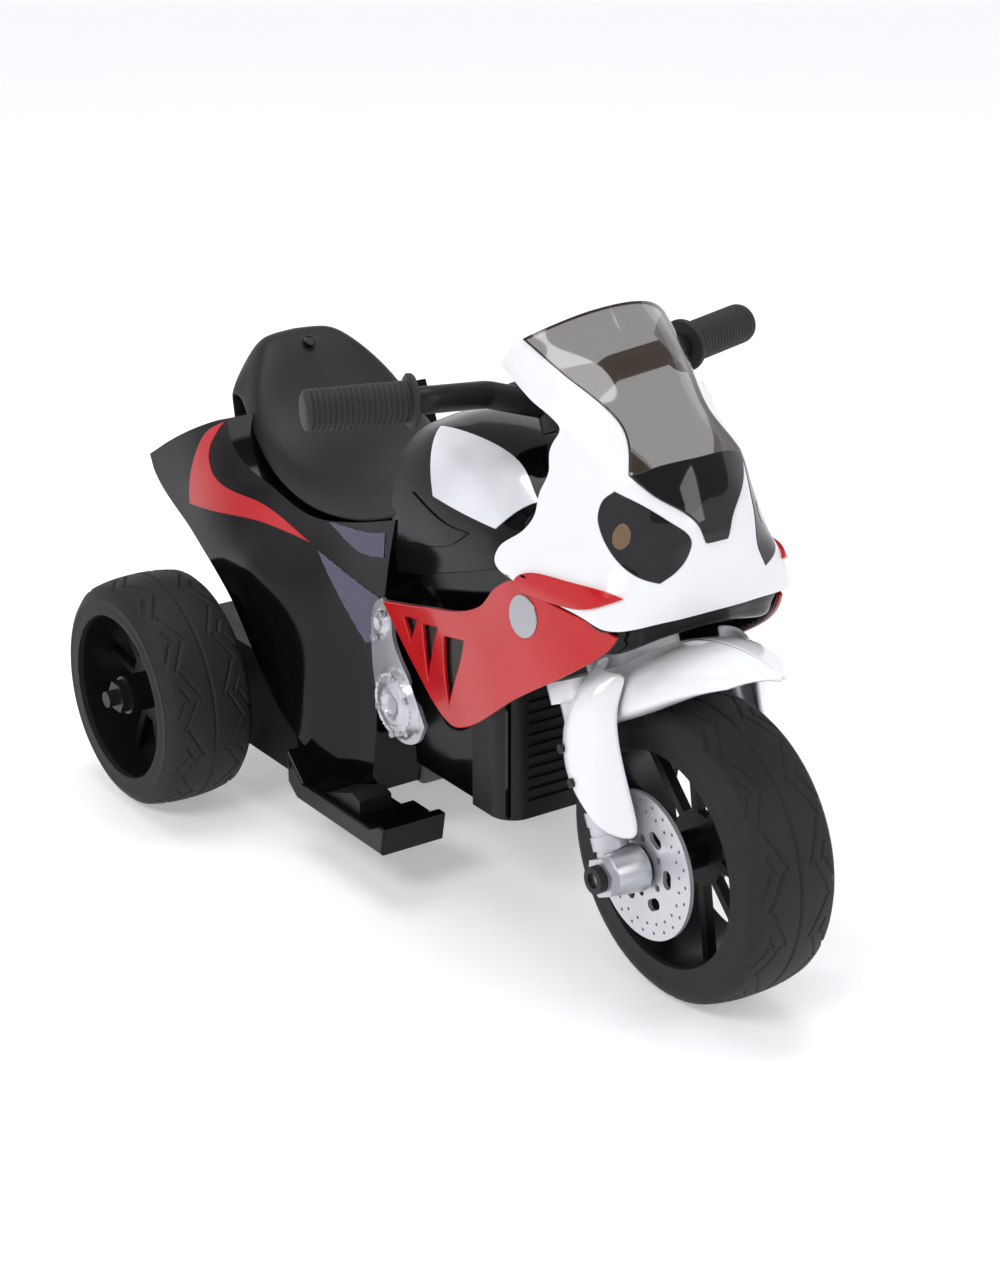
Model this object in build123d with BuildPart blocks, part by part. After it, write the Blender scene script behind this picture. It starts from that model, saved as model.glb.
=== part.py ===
from build123d import *
from math import acos, cos, pi, radians, sin, tan
import os

# A battery ride-on motorbike for a toddler: two rear wheels, one steered front wheel.
# +X is forward, +Y is the rider's left, +Z is up. The origin is on the floor below the middle.

# ---- Driving dimensions, in millimetres and degrees ----
length_over_tyres = 645
rear_track = 290
front_tyre_r = 100
front_tyre_w = 69
front_rim_r = 72
rear_tyre_r = 85
rear_tyre_w = 70
rear_rim_r = 61
rim_wall = 3
body_half_width = 98
body_wall = 3
housing_half_width = 96
fork_half_track = 62
fork_leg_r = 10
rake = 25
trail_offset = 32.5
front_axle_r = 5
rear_axle_r = 6
stem_r = 11
bar_r = 9
grip_r = 13
grip_length = 70
gear_module = 1
drive_teeth = 48
wheel_teeth = 36
small_teeth = 12
gear_width = 9
running_gap = 0.05
hub_wall = 8
seat_gap = 0.02
panel_gap = 0.2
clear_gap = 0.6

# ---- Places worked out from the driving dimensions ----
front_axle_x = length_over_tyres / 2 - front_tyre_r
rear_axle_x = rear_tyre_r - length_over_tyres / 2
rear_wheel_y = rear_track / 2
front_axle_z = front_tyre_r
rear_axle_z = rear_tyre_r
front_axle = Axis((front_axle_x, 0, front_axle_z), (0, 1, 0))
rear_axle = Axis((rear_axle_x, 0, rear_axle_z), (0, 1, 0))

# The steering frame: its Z runs up the raked steering axis and its X points forward.
steer_origin = (front_axle_x - trail_offset, 0, front_axle_z)
steer_forward = (cos(radians(rake)), 0, sin(radians(rake)))
steer_up = (-sin(radians(rake)), 0, cos(radians(rake)))
steering = Plane(origin=steer_origin, x_dir=steer_forward, z_dir=steer_up)
stem_axis = Axis(steer_origin, steer_up)
axle_in_fork = (trail_offset * cos(radians(rake)), -trail_offset * sin(radians(rake)))
fork_leg_x = axle_in_fork[0] - 8
bridge_bottom = 98
bridge_top = 142
column_bottom = 146
column_top = 262
stem_top = 292
hub_sleeve_r = 12


def front(distance):
    """A station measured from the front axle, forward positive."""
    return front_axle_x + distance


def rear(distance):
    """A station measured from the rear axle, forward positive."""
    return rear_axle_x + distance


def middle(share):
    """A station between the rear axle, at 0, and the front axle, at 1."""
    return rear_axle_x + share * (front_axle_x - rear_axle_x)


def fork_point(along_x, up):
    """The X and Z of a point given in the steering frame."""
    x = steer_origin[0] + along_x * steer_forward[0] + up * steer_up[0]
    z = steer_origin[2] + along_x * steer_forward[2] + up * steer_up[2]
    return (x, z)


def side(y):
    """A plane across the machine at one y, with its X forward and its Y up. It faces right."""
    return Plane.XZ.offset(-y)


def ahead(x):
    """A plane facing forward at one x, with its X to the left and its Y up."""
    return Plane.YZ.offset(x)


os.makedirs("parts", exist_ok=True)
pieces = {}


def keep(name, piece):
    """Label a finished piece and write it to its own file."""
    piece.part.label = name
    export_step(piece.part, f"parts/{name}.step")
    pieces[name] = piece


def keep_pair(name, piece):
    """Keep a right-hand piece and its mirror image on the left."""
    with BuildPart() as twin:
        mirror(piece.part, about=Plane.XZ)
    keep(f"{name}_right", piece)
    keep(f"{name}_left", twin)


def keep_both(name, piece):
    """Keep a right-hand piece and its mirror image as two solids of one node."""
    with BuildPart() as both:
        add(piece.part)
        mirror(about=Plane.XZ)
    keep(name, both)


def outline(points):
    """A closed face with straight edges through the points, in the current sketch."""
    Polygon(*points, align=None)


# ---- Wheels ----
def make_tyre(axis, wheel_y, outer_r, bore_r, width):
    """A closed tyre with a crowned tread, bulged walls and two grooves round the tread."""
    x, z = axis.position.X, axis.position.Z
    half = width / 2
    bead = half - 4
    wall_r = bore_r + 0.45 * (outer_r - bore_r)
    shoulder_r = outer_r - 7
    shoulder = half - 3
    groove_w, groove_d = 2, 1.6
    with BuildPart() as piece:
        with BuildSketch(Plane(origin=(x, wheel_y, z))):
            with BuildLine():
                Line((bore_r, -bead), (bore_r, bead))
                ThreePointArc((bore_r, bead), (wall_r, half), (shoulder_r, shoulder))
                ThreePointArc((shoulder_r, shoulder), (outer_r, 0), (shoulder_r, -shoulder))
                ThreePointArc((shoulder_r, -shoulder), (wall_r, -half), (bore_r, -bead))
            make_face()
        revolve(axis=axis)
        with BuildSketch(Plane(origin=(x, wheel_y, z))):
            with Locations((outer_r - 1, -width / 6), (outer_r - 1, width / 6)):
                Rectangle(2 * groove_d, groove_w)
        revolve(axis=axis, mode=Mode.SUBTRACT)
    return piece


def make_rim(axis, wheel_y, outward, rim_r, tyre_w, bore_r, hub, spoke_y, spokes):
    """A deep rim: barrel, spoked web and a hub tube from hub[0] to hub[1], along the axle."""
    x, z = axis.position.X, axis.position.Z
    half = tyre_w / 2 - 4
    barrel_r = rim_r + rim_wall
    hub_r = bore_r + hub_wall
    boss_r = 25
    spoke_w, spoke_t = 6, 7
    with BuildPart() as piece:
        with BuildSketch(Plane(origin=(x, wheel_y, z))):
            with Locations((rim_r + rim_wall / 2, 0)):
                Rectangle(rim_wall, 2 * half)
        revolve(axis=axis)
        with BuildSketch(Plane(origin=(x, 0, z))):
            with Locations(((bore_r + hub_r) / 2, (hub[0] + hub[1]) / 2)):
                Rectangle(hub_r - bore_r, abs(hub[1] - hub[0]))
            with Locations(((hub_r + boss_r) / 2 - 1, spoke_y)):
                Rectangle(boss_r - hub_r + 2, spoke_t)
        revolve(axis=axis)
        with BuildSketch(Plane(origin=(x, spoke_y + outward * spoke_t / 2, z), x_dir=(1, 0, 0),
                               z_dir=(0, -outward, 0))):
            with PolarLocations(0, spokes, start_angle=9):
                with Locations(((boss_r + rim_r) / 2, 0)):
                    Rectangle(rim_r - boss_r + 3, spoke_w)
        extrude(amount=spoke_t)
        with BuildSketch(Plane(origin=(x, 0, z))):
            with Locations((barrel_r + 20, wheel_y)):
                Rectangle(40, 4 * half)
        revolve(axis=axis, mode=Mode.SUBTRACT)
    return piece


disc_y = 46.5
disc_r = 49.7
disc_t = 3
disc_bore_r = front_axle_r + running_gap + hub_wall
front_hub_half = disc_y + disc_t / 2 + 2
keep("front_tyre", make_tyre(front_axle, 0, front_tyre_r, front_rim_r + rim_wall + seat_gap, front_tyre_w))
keep("front_rim", make_rim(front_axle, 0, -1, front_rim_r, front_tyre_w, front_axle_r + running_gap,
                           (-front_hub_half, front_hub_half), 0, 10))

# The two drilled brake discs are pressed over the ends of the front hub.
with BuildPart() as brake_discs:
    with BuildSketch(side(-disc_y + disc_t / 2)):
        with Locations((front_axle_x, front_axle_z)):
            Circle(disc_r)
            Circle(disc_bore_r + seat_gap, mode=Mode.SUBTRACT)
            with PolarLocations(disc_r - 5, 24, start_angle=3):
                Circle(1.1, mode=Mode.SUBTRACT)
            with PolarLocations(disc_r - 11, 24, start_angle=10):
                Circle(1.1, mode=Mode.SUBTRACT)
            with PolarLocations(26, 6):
                SlotOverall(13, 8, rotation=90, mode=Mode.SUBTRACT)
            with PolarLocations(19, 6, start_angle=30):
                Circle(2.5, mode=Mode.SUBTRACT)
    extrude(amount=disc_t)
    mirror(about=Plane.XZ)
keep("brake_discs", brake_discs)

rear_hub_inner = housing_half_width + 5
rear_hub_outer = rear_wheel_y + rear_tyre_w / 2 - 6
rear_spoke_y = rear_wheel_y + 4
axle_end_y = rear_wheel_y + rear_tyre_w / 2 + 5
keep_pair("rear_tyre", make_tyre(rear_axle, -rear_wheel_y, rear_tyre_r,
                                 rear_rim_r + rim_wall + seat_gap, rear_tyre_w))
keep_pair("rear_rim", make_rim(rear_axle, -rear_wheel_y, -1, rear_rim_r, rear_tyre_w,
                               rear_axle_r + running_gap, (-rear_hub_inner, -rear_hub_outer),
                               -rear_spoke_y, 10))

# The rear axle is a fixed steel rod. Its ends stand out past the caps that hold the wheels on.
cap_length = 7
cap_r = 12
axle_free_end = axle_end_y + 4
with BuildPart() as rear_axle_rod:
    with BuildSketch(side(axle_free_end)):
        with Locations((rear_axle_x, rear_axle_z)):
            Circle(rear_axle_r)
    extrude(amount=2 * axle_free_end)
keep("rear_axle", rear_axle_rod)

with BuildPart() as rear_axle_caps:
    with BuildSketch(side(-rear_hub_outer - running_gap)):
        with Locations((rear_axle_x, rear_axle_z)):
            RegularPolygon(cap_r, 6)
            Circle(rear_axle_r + seat_gap, mode=Mode.SUBTRACT)
    extrude(amount=cap_length)
    mirror(about=Plane.XZ)
keep("rear_axle_caps", rear_axle_caps)

# ---- Front axle, fork and mudguard, which turn with the handlebar ----
fork_boss_inner = disc_y + disc_t / 2 + 4
fork_boss_outer = fork_half_track + 13
nut_t = 6
nut_r = 14
axle_cap_t = 6
front_axle_end = fork_boss_outer + nut_t + axle_cap_t / 2
with BuildPart() as front_axle_rod:
    with BuildSketch(side(front_axle_end)):
        with Locations((front_axle_x, front_axle_z)):
            Circle(front_axle_r)
    extrude(amount=2 * front_axle_end)
keep("front_axle", front_axle_rod)

with BuildPart() as front_axle_nuts:
    with BuildSketch(side(-fork_boss_outer)):
        with Locations((front_axle_x, front_axle_z)):
            RegularPolygon(nut_r, 6, rotation=rake)
            Circle(front_axle_r + seat_gap, mode=Mode.SUBTRACT)
    extrude(amount=nut_t)
    mirror(about=Plane.XZ)
keep("front_axle_nuts", front_axle_nuts)

with BuildPart() as front_axle_caps:
    with BuildSketch(side(-fork_boss_outer - nut_t)):
        with Locations((front_axle_x, front_axle_z)):
            Circle(9)
            Circle(front_axle_r + seat_gap, mode=Mode.SUBTRACT)
    extrude(amount=axle_cap_t)
    mirror(about=Plane.XZ)
keep("front_axle_caps", front_axle_caps)

sleeve_r = fork_leg_r + 1.8
sleeve_bottom = 2
sleeve_top = 27
cover_bottom = 29
with BuildPart() as fork_leg:
    with BuildSketch(steering.offset(axle_in_fork[1])):
        with Locations((fork_leg_x, -fork_half_track)):
            Circle(fork_leg_r)
    extrude(amount=bridge_bottom - axle_in_fork[1])
    with BuildSketch(steering.offset(sleeve_bottom)):
        with Locations((fork_leg_x, -fork_half_track)):
            Circle(sleeve_r)
    extrude(amount=sleeve_top - sleeve_bottom)
    with BuildSketch(steering.offset(sleeve_bottom + 9)):
        with Locations((fork_leg_x, -fork_half_track)):
            Circle(sleeve_r + 1)
            Circle(sleeve_r - 1, mode=Mode.SUBTRACT)
    extrude(amount=7, mode=Mode.SUBTRACT)
    with BuildSketch(side(-fork_boss_inner)):
        with Locations((front_axle_x, front_axle_z)):
            Circle(16)
    extrude(amount=fork_boss_outer - fork_boss_inner, taper=6)
    with BuildSketch(side(0)):
        with Locations((front_axle_x, front_axle_z)):
            Circle(front_axle_r + seat_gap)
    extrude(amount=fork_boss_outer + 10, mode=Mode.SUBTRACT)
keep_both("fork_legs", fork_leg)

# White moulded covers clip over the legs and run down to the silver sleeves.
cover_inner = fork_half_track - 11.5
cover_outer = fork_half_track + 9
cover_back = fork_leg_x - 19
cover_front = fork_leg_x + 15
blade_tip = 6
with BuildPart() as fork_cover:
    with BuildSketch(side(-cover_inner)):
        outline([fork_point(cover_back, cover_bottom), fork_point(cover_back - 2, 60),
                 fork_point(cover_back + 8, bridge_bottom - clear_gap),
                 fork_point(cover_front + 12, bridge_bottom - clear_gap), fork_point(cover_front + 2, 60),
                 fork_point(cover_front, cover_bottom)])
    extrude(amount=cover_outer - cover_inner)
    fillet(fork_cover.faces().sort_by(Axis.Y)[0].edges(), radius=5)
    with BuildSketch(side(-cover_inner)):
        outline([fork_point(cover_front - 4, 70), fork_point(cover_front + 10, 70),
                 fork_point(cover_front + 12, blade_tip), fork_point(cover_front + 4, blade_tip)])
    extrude(amount=4)
    with BuildSketch(steering.offset(cover_bottom - 40)):
        with Locations((fork_leg_x, -fork_half_track)):
            Circle(fork_leg_r + seat_gap)
    extrude(amount=bridge_bottom + 40, mode=Mode.SUBTRACT)
keep_both("fork_covers", fork_cover)

# The bridge ties the legs together above the tyre and carries the steering stem.
with BuildPart() as fork_bridge:
    with BuildSketch(steering.offset(bridge_bottom)):
        with Locations((fork_leg_x - 6, 0)):
            RectangleRounded(38, 2 * fork_half_track + 12, 8)
    extrude(amount=14)
    with BuildSketch(steering.offset(bridge_bottom + 14)):
        with Locations((6, 0)):
            RectangleRounded(44, 56, 10)
    extrude(amount=bridge_top - bridge_bottom - 14)
    with BuildSketch(steering.offset(bridge_bottom - 1)):
        Circle(stem_r + seat_gap)
    extrude(amount=bridge_top - bridge_bottom + 2, mode=Mode.SUBTRACT)
keep("fork_bridge", fork_bridge)

with BuildPart() as steering_stem:
    with BuildSketch(steering.offset(bridge_bottom)):
        Circle(stem_r)
    extrude(amount=stem_top - bridge_bottom)
keep("steering_stem", steering_stem)

# The mudguard is an arched dome over the tyre, with a pointed beak and walls down to the bridge.
guard_half = front_tyre_w / 2 + 6
guard_wall = 3
guard_crown = 37
with BuildPart() as mudguard:
    with BuildSketch(side(guard_half)):
        with BuildLine():
            Polyline((front(80), front_tyre_r + 138), (front(-2), front_tyre_r + 92),
                     (front(-14), front_tyre_r + 88), (front(-42), front_tyre_r + 100),
                     fork_point(fork_leg_x + 14, bridge_bottom + 16))
            ThreePointArc(fork_point(fork_leg_x + 14, bridge_bottom + 16),
                          (front(8), front_tyre_r + 100 + guard_crown), (front(80), front_tyre_r + 138))
        make_face()
    extrude(amount=2 * guard_half)
    with BuildSketch(Plane.XY.offset(front_tyre_r)):
        outline([(front(-70), guard_half), (front(10), guard_half), (front(60), guard_half * 0.6),
                 (front(80), 4), (front(80), -4), (front(60), -guard_half * 0.6),
                 (front(10), -guard_half), (front(-70), -guard_half)])
    extrude(amount=200, mode=Mode.INTERSECT)
    with BuildSketch(side(guard_half - guard_wall)):
        with BuildLine():
            Polyline((front(90), front_tyre_r + 100), (front(-60), front_tyre_r + 60),
                     (front(-50), front_tyre_r + 112))
            ThreePointArc((front(-50), front_tyre_r + 112),
                          (front(8), front_tyre_r + 97 + guard_crown), (front(78), front_tyre_r + 135))
            Line((front(78), front_tyre_r + 135), (front(90), front_tyre_r + 100))
        make_face()
    extrude(amount=2 * (guard_half - guard_wall), mode=Mode.SUBTRACT)
keep("mudguard", mudguard)

# ---- Handlebar, grips and the pod with its two buttons ----
bar_mid = fork_point(0, 280)
bar_elbow = (bar_mid[0] - 20, 50, bar_mid[1] + 14)
bar_bend = (bar_elbow[0] + 4, 98, bar_mid[1] + 20)
bar_end = (bar_elbow[0] - 20, 174, bar_mid[1] + 20)
bar_direction = Vector(*bar_end) - Vector(*bar_bend)
clamp_r = 20
with BuildPart() as handlebar:
    with BuildLine():
        bar_path = FilletPolyline((bar_mid[0], 0, bar_mid[1]), bar_elbow, bar_bend, bar_end, radius=14)
    with BuildSketch(Plane(origin=bar_path @ 0, z_dir=bar_path % 0)):
        Circle(bar_r)
    sweep()
    mirror(about=Plane.XZ)
    with BuildSketch(steering.offset(column_top + 6)):
        Circle(clamp_r)
    extrude(amount=24)
    with BuildSketch(steering.offset(column_top)):
        Circle(stem_r + seat_gap)
    extrude(amount=stem_top - column_top, mode=Mode.SUBTRACT)
keep("handlebar", handlebar)

flange_t = 4
flange_r = grip_r + 5
grip_start = Vector(*bar_end) - bar_direction.normalized() * grip_length
grip_place = Plane(origin=grip_start, z_dir=bar_direction)
with BuildPart() as grip_left:
    with BuildSketch(grip_place):
        Circle(grip_r)
    extrude(amount=grip_length + 4)
    with BuildSketch(grip_place):
        Circle(flange_r)
    extrude(amount=flange_t)
    fillet(grip_left.faces().sort_by(Axis.Y)[-1].edges(), radius=3)
    with BuildSketch(grip_place.offset(-1)):
        Circle(bar_r + seat_gap)
    extrude(amount=grip_length + 1, mode=Mode.SUBTRACT)
keep_both("grips", grip_left)

button_r = 5
button_travel = 1.5
button_x, button_y = -22, 13
pod_bottom = stem_top
pod_top = stem_top + 14
with BuildPart() as instrument_pod:
    with BuildSketch(steering.offset(pod_bottom)):
        with Locations((-10, 0)):
            RectangleRounded(46, 58, 14)
    extrude(amount=pod_top - pod_bottom)
    add(handlebar.part, mode=Mode.SUBTRACT)
    fillet(instrument_pod.faces().sort_by(stem_axis)[-1].edges(), radius=4)
    with BuildSketch(steering.offset(pod_top)):
        with Locations((button_x, button_y), (button_x, -button_y)):
            Circle(button_r + running_gap)
    extrude(amount=-6, mode=Mode.SUBTRACT)
keep("instrument_pod", instrument_pod)

button_depth = 6 - button_travel - 0.5
for name, across in (("horn_button", -button_y), ("music_button", button_y)):
    with BuildPart() as button:
        with BuildSketch(steering.offset(pod_top - button_depth)):
            with Locations((button_x, across)):
                Circle(button_r)
        extrude(amount=button_depth + 2)
        fillet(button.faces().sort_by(stem_axis)[-1].edges(), radius=0.8)
    keep(name, button)

# ---- Steering column, fixed to the body, with a plain bush at each end ----
column_r = 19
bush_length = 12
bush_r = stem_r + 3
with BuildPart() as steering_column:
    with BuildSketch(steering.offset(column_bottom)):
        Circle(column_r)
        Circle(bush_r + seat_gap, mode=Mode.SUBTRACT)
    extrude(amount=column_top - column_bottom)
keep("steering_column", steering_column)

with BuildPart() as stem_bushes:
    for level in (column_bottom, column_top - bush_length):
        with BuildSketch(steering.offset(level)):
            Circle(bush_r)
            Circle(stem_r + running_gap, mode=Mode.SUBTRACT)
        extrude(amount=bush_length)
keep("stem_bushes", stem_bushes)

# ---- Body: one outline seen from the side, narrowed by one outline seen from above ----
floor_z = 45
seat_half_width = 72
foot_half_width = 74
body_front_x = middle(0.412)
tail_x = rear(-85)
saddle = [(rear(-24), 264), (rear(8), 250), (rear(42), 238), (rear(108), 236), (middle(0.33), 246),
          (body_front_x, 258)]


def body_block(inset):
    """The outer form of the body, shrunk by inset on every side."""
    with BuildPart() as block:
        with BuildSketch(side(2 * body_half_width)):
            outline([(rear(127), floor_z), (rear(85), 100), (rear(30), 152), (rear(-28), 190),
                     (tail_x, 231), (rear(-52), 254), (rear(-5), 279), (rear(34), 298), (rear(60), 262),
                     (rear(108), 240), (body_front_x, 262), (middle(0.43), 160), (middle(0.47), floor_z)])
            if inset:
                offset(amount=-inset, kind=Kind.TANGENT)
        extrude(amount=4 * body_half_width)
        with BuildSketch(Plane.XY):
            plan = [(tail_x, body_half_width), (rear(130), body_half_width),
                    (middle(0.48), seat_half_width + 4)]
            outline(plan + [(x, -y) for x, y in reversed(plan)])
            if inset:
                offset(amount=-inset, kind=Kind.TANGENT)
        extrude(amount=400, mode=Mode.INTERSECT)
        with BuildSketch(ahead(2 * tail_x)):
            flare = [(foot_half_width, 0), (foot_half_width, 80),
                     (body_half_width, 175), (body_half_width, 400)]
            outline(flare + [(-y, z) for y, z in reversed(flare)])
            if inset:
                offset(amount=-inset, kind=Kind.TANGENT)
        extrude(amount=-4 * tail_x, mode=Mode.INTERSECT)
    return block.part


saddle_high = 380
with BuildPart() as saddle_pocket:
    with BuildSketch(side(seat_half_width)):
        outline(saddle + [(body_front_x + 40, 262), (body_front_x + 40, saddle_high),
                          (rear(-24), saddle_high)])
    extrude(amount=2 * seat_half_width)

with BuildPart() as body_hollow:
    add(body_block(body_wall))
    add(Pos(0, 0, -body_wall) * saddle_pocket.part, mode=Mode.SUBTRACT)

# The body shell is moulded in two halves that meet along the middle.
with BuildPart() as body_shell:
    add(body_block(0))
    add(saddle_pocket.part, mode=Mode.SUBTRACT)
    add(body_hollow.part, mode=Mode.SUBTRACT)
with BuildPart() as body_right:
    add(body_shell.part)
    split(bisect_by=Plane.XZ, keep=Keep.TOP)
with BuildPart() as body_left:
    add(body_shell.part)
    split(bisect_by=Plane.XZ, keep=Keep.BOTTOM)
keep("body_shell_right", body_right)
keep("body_shell_left", body_left)

# Thin coloured trims lie on the body's sides.
trim_t = 1.2


def body_trim(points):
    """A thin skin on the right side of the body, inside one outline seen from the side."""
    with BuildPart() as skin:
        add(body_block(-trim_t))
        add(body_block(0), mode=Mode.SUBTRACT)
        with BuildSketch(side(-seat_half_width * 0.85)):
            outline(points)
        extrude(amount=body_half_width, mode=Mode.INTERSECT)
    return skin


keep_both("tail_accents", body_trim([(rear(38), 288), (rear(20), 270), (rear(2), 238), (rear(50), 222),
                                    (rear(112), 222), (rear(40), 212), (rear(-28), 212),
                                    (rear(-10), 250), (rear(10), 278)]))
keep_both("mesh_inserts", body_trim([(rear(130), 226), (rear(190), 232), (rear(186), 190),
                                    (rear(160), 200)]))

# ---- Seat: one moulding with a raised back ----
seat_screw_r = 3
seat_top = [(rear(-18), 300), (rear(-34), 322), (rear(-6), 332), (rear(20), 318), (rear(60), 276),
            (rear(110), 262), (middle(0.33), 274), (body_front_x - panel_gap, 306)]
with BuildPart() as seat:
    with BuildSketch(side(seat_half_width - panel_gap)):
        outline([(rear(-24) + panel_gap, 264 + panel_gap)]
                + [(x, z + panel_gap) for x, z in saddle[1:-1]]
                + [(body_front_x - panel_gap, 258 + panel_gap)] + seat_top[::-1])
    extrude(amount=2 * (seat_half_width - panel_gap))
    with BuildSketch(ahead(rear(-60))):
        outline([(-seat_half_width, 200), (-seat_half_width, 282), (-34, 345), (34, 345),
                 (seat_half_width, 282), (seat_half_width, 200)])
    extrude(amount=length_over_tyres, mode=Mode.INTERSECT)
    with Locations((rear(-14), 0, 326)):
        Cylinder(seat_screw_r + 1, 24, mode=Mode.SUBTRACT)
keep("seat", seat)

# ---- Rear axle housing, in an upper and a lower half, and what it holds ----
housing_back, housing_bottom, housing_top = rear(-46), 43, 122
housing_front = rear(84)
with BuildPart() as housing_box:
    with BuildSketch(side(housing_half_width)):
        outline([(housing_back, housing_bottom), (housing_front + 30, housing_bottom),
                 (housing_front + 30, housing_top), (housing_back + 6, housing_top)])
    extrude(amount=2 * housing_half_width)
    fillet(housing_box.faces().sort_by(Axis.X)[0].edges().filter_by(Axis.Y), radius=4)
    with BuildSketch(side(housing_half_width - body_wall)):
        outline([(housing_back + body_wall, housing_bottom + body_wall),
                 (housing_front + 40, housing_bottom + body_wall),
                 (housing_front + 40, housing_top - body_wall),
                 (housing_back + 6 + body_wall, housing_top - body_wall)])
    extrude(amount=2 * (housing_half_width - body_wall), mode=Mode.SUBTRACT)
    add(body_block(0), mode=Mode.SUBTRACT)
    with BuildSketch(side(axle_free_end)):
        with Locations((rear_axle_x, rear_axle_z)):
            Circle(rear_axle_r + seat_gap)
    extrude(amount=2 * axle_free_end, mode=Mode.SUBTRACT)
    with BuildSketch(side(housing_half_width + 1)):
        with Locations((rear_axle_x, rear_axle_z)):
            Circle(hub_sleeve_r + clear_gap)
    extrude(amount=body_wall + 2, mode=Mode.SUBTRACT)
for half, kept in (("upper", Keep.TOP), ("lower", Keep.BOTTOM)):
    with BuildPart() as housing_half:
        add(housing_box.part)
        split(bisect_by=Plane.XY.offset(rear_axle_z), keep=kept)
    keep(f"axle_housing_{half}", housing_half)

# ---- Gear train: motor pinion, double gear and the drive gear on the left wheel ----
pressure_angle = radians(25)
tooth_slack = 0.12
tooth_rise = 0.8
tooth_drop = 1.05
first_pair = gear_module * (drive_teeth + small_teeth) / 2
second_pair = gear_module * (wheel_teeth + small_teeth) / 2
double_gear_x = rear_axle_x + first_pair
pinion_x = double_gear_x + second_pair
gear_z = rear_axle_z
drive_gear_y = 78
double_gear_y = drive_gear_y - gear_width - 2
gear_pin_r = 3
motor_shaft_r = 1.2


def roll(angle):
    """The involute function."""
    return tan(angle) - angle


def gear_face(teeth, place, bore_r, turn):
    """A spur gear's face with involute flanks, on the given plane. One tooth points at turn."""
    pitch_r = gear_module * teeth / 2
    base_r = pitch_r * cos(pressure_angle)
    root_r = pitch_r - gear_module * tooth_drop
    tip_r = pitch_r + gear_module * tooth_rise
    half_tooth = pi / (2 * teeth) - tooth_slack / (2 * pitch_r)
    start_r = max(base_r, root_r)
    flank = []
    for step in range(4):
        radius = start_r + (tip_r - start_r) * step / 3
        spread = half_tooth + roll(pressure_angle) - roll(acos(min(1, base_r / radius)))
        flank.append((radius * cos(spread), radius * sin(spread)))
    foot_spread = half_tooth + roll(pressure_angle)
    if root_r > base_r:
        foot_spread = half_tooth + roll(pressure_angle) - roll(acos(base_r / root_r))
    foot = ((root_r - 0.3) * cos(foot_spread), (root_r - 0.3) * sin(foot_spread))
    with BuildSketch() as tooth:
        with BuildLine():
            Line(foot, flank[0])
            Spline(*flank)
            ThreePointArc(flank[-1], (tip_r, 0), (flank[-1][0], -flank[-1][1]))
            Spline(*[(x, -y) for x, y in reversed(flank)])
            Polyline((flank[0][0], -flank[0][1]), (foot[0], -foot[1]), foot)
        make_face()
    with BuildSketch(place) as gear:
        Circle(root_r)
        with PolarLocations(0, teeth, start_angle=turn):
            add(tooth.sketch)
        Circle(bore_r, mode=Mode.SUBTRACT)
    return gear.sketch


def gear_place(x, y):
    """The plane of a gear's left face, with its centre at x and its axis along the axle."""
    return Plane(origin=(x, y, gear_z), x_dir=(1, 0, 0), z_dir=(0, -1, 0))


with BuildPart() as drive_gear:
    extrude(gear_face(drive_teeth, gear_place(rear_axle_x, drive_gear_y), rear_axle_r + running_gap, 0),
            amount=gear_width)
    with BuildSketch(side(rear_hub_inner)):
        with Locations((rear_axle_x, rear_axle_z)):
            Circle(hub_sleeve_r)
            Circle(rear_axle_r + running_gap, mode=Mode.SUBTRACT)
    extrude(amount=rear_hub_inner - drive_gear_y)
keep("drive_gear", drive_gear)

mesh_turn = 180 + 180 / small_teeth
with BuildPart() as double_gear:
    extrude(gear_face(small_teeth, gear_place(double_gear_x, drive_gear_y), gear_pin_r + running_gap,
                      mesh_turn), amount=gear_width + 2)
    extrude(gear_face(wheel_teeth, gear_place(double_gear_x, double_gear_y), gear_pin_r + running_gap, 0),
            amount=gear_width)
keep("double_gear", double_gear)

with BuildPart() as motor_pinion:
    extrude(gear_face(small_teeth, gear_place(pinion_x, double_gear_y), motor_shaft_r, mesh_turn),
            amount=gear_width)
    with BuildSketch(side(double_gear_y)):
        with Locations((pinion_x, gear_z)):
            Circle(motor_shaft_r)
    extrude(amount=gear_width + 20)
keep("motor_pinion", motor_pinion)

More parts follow.
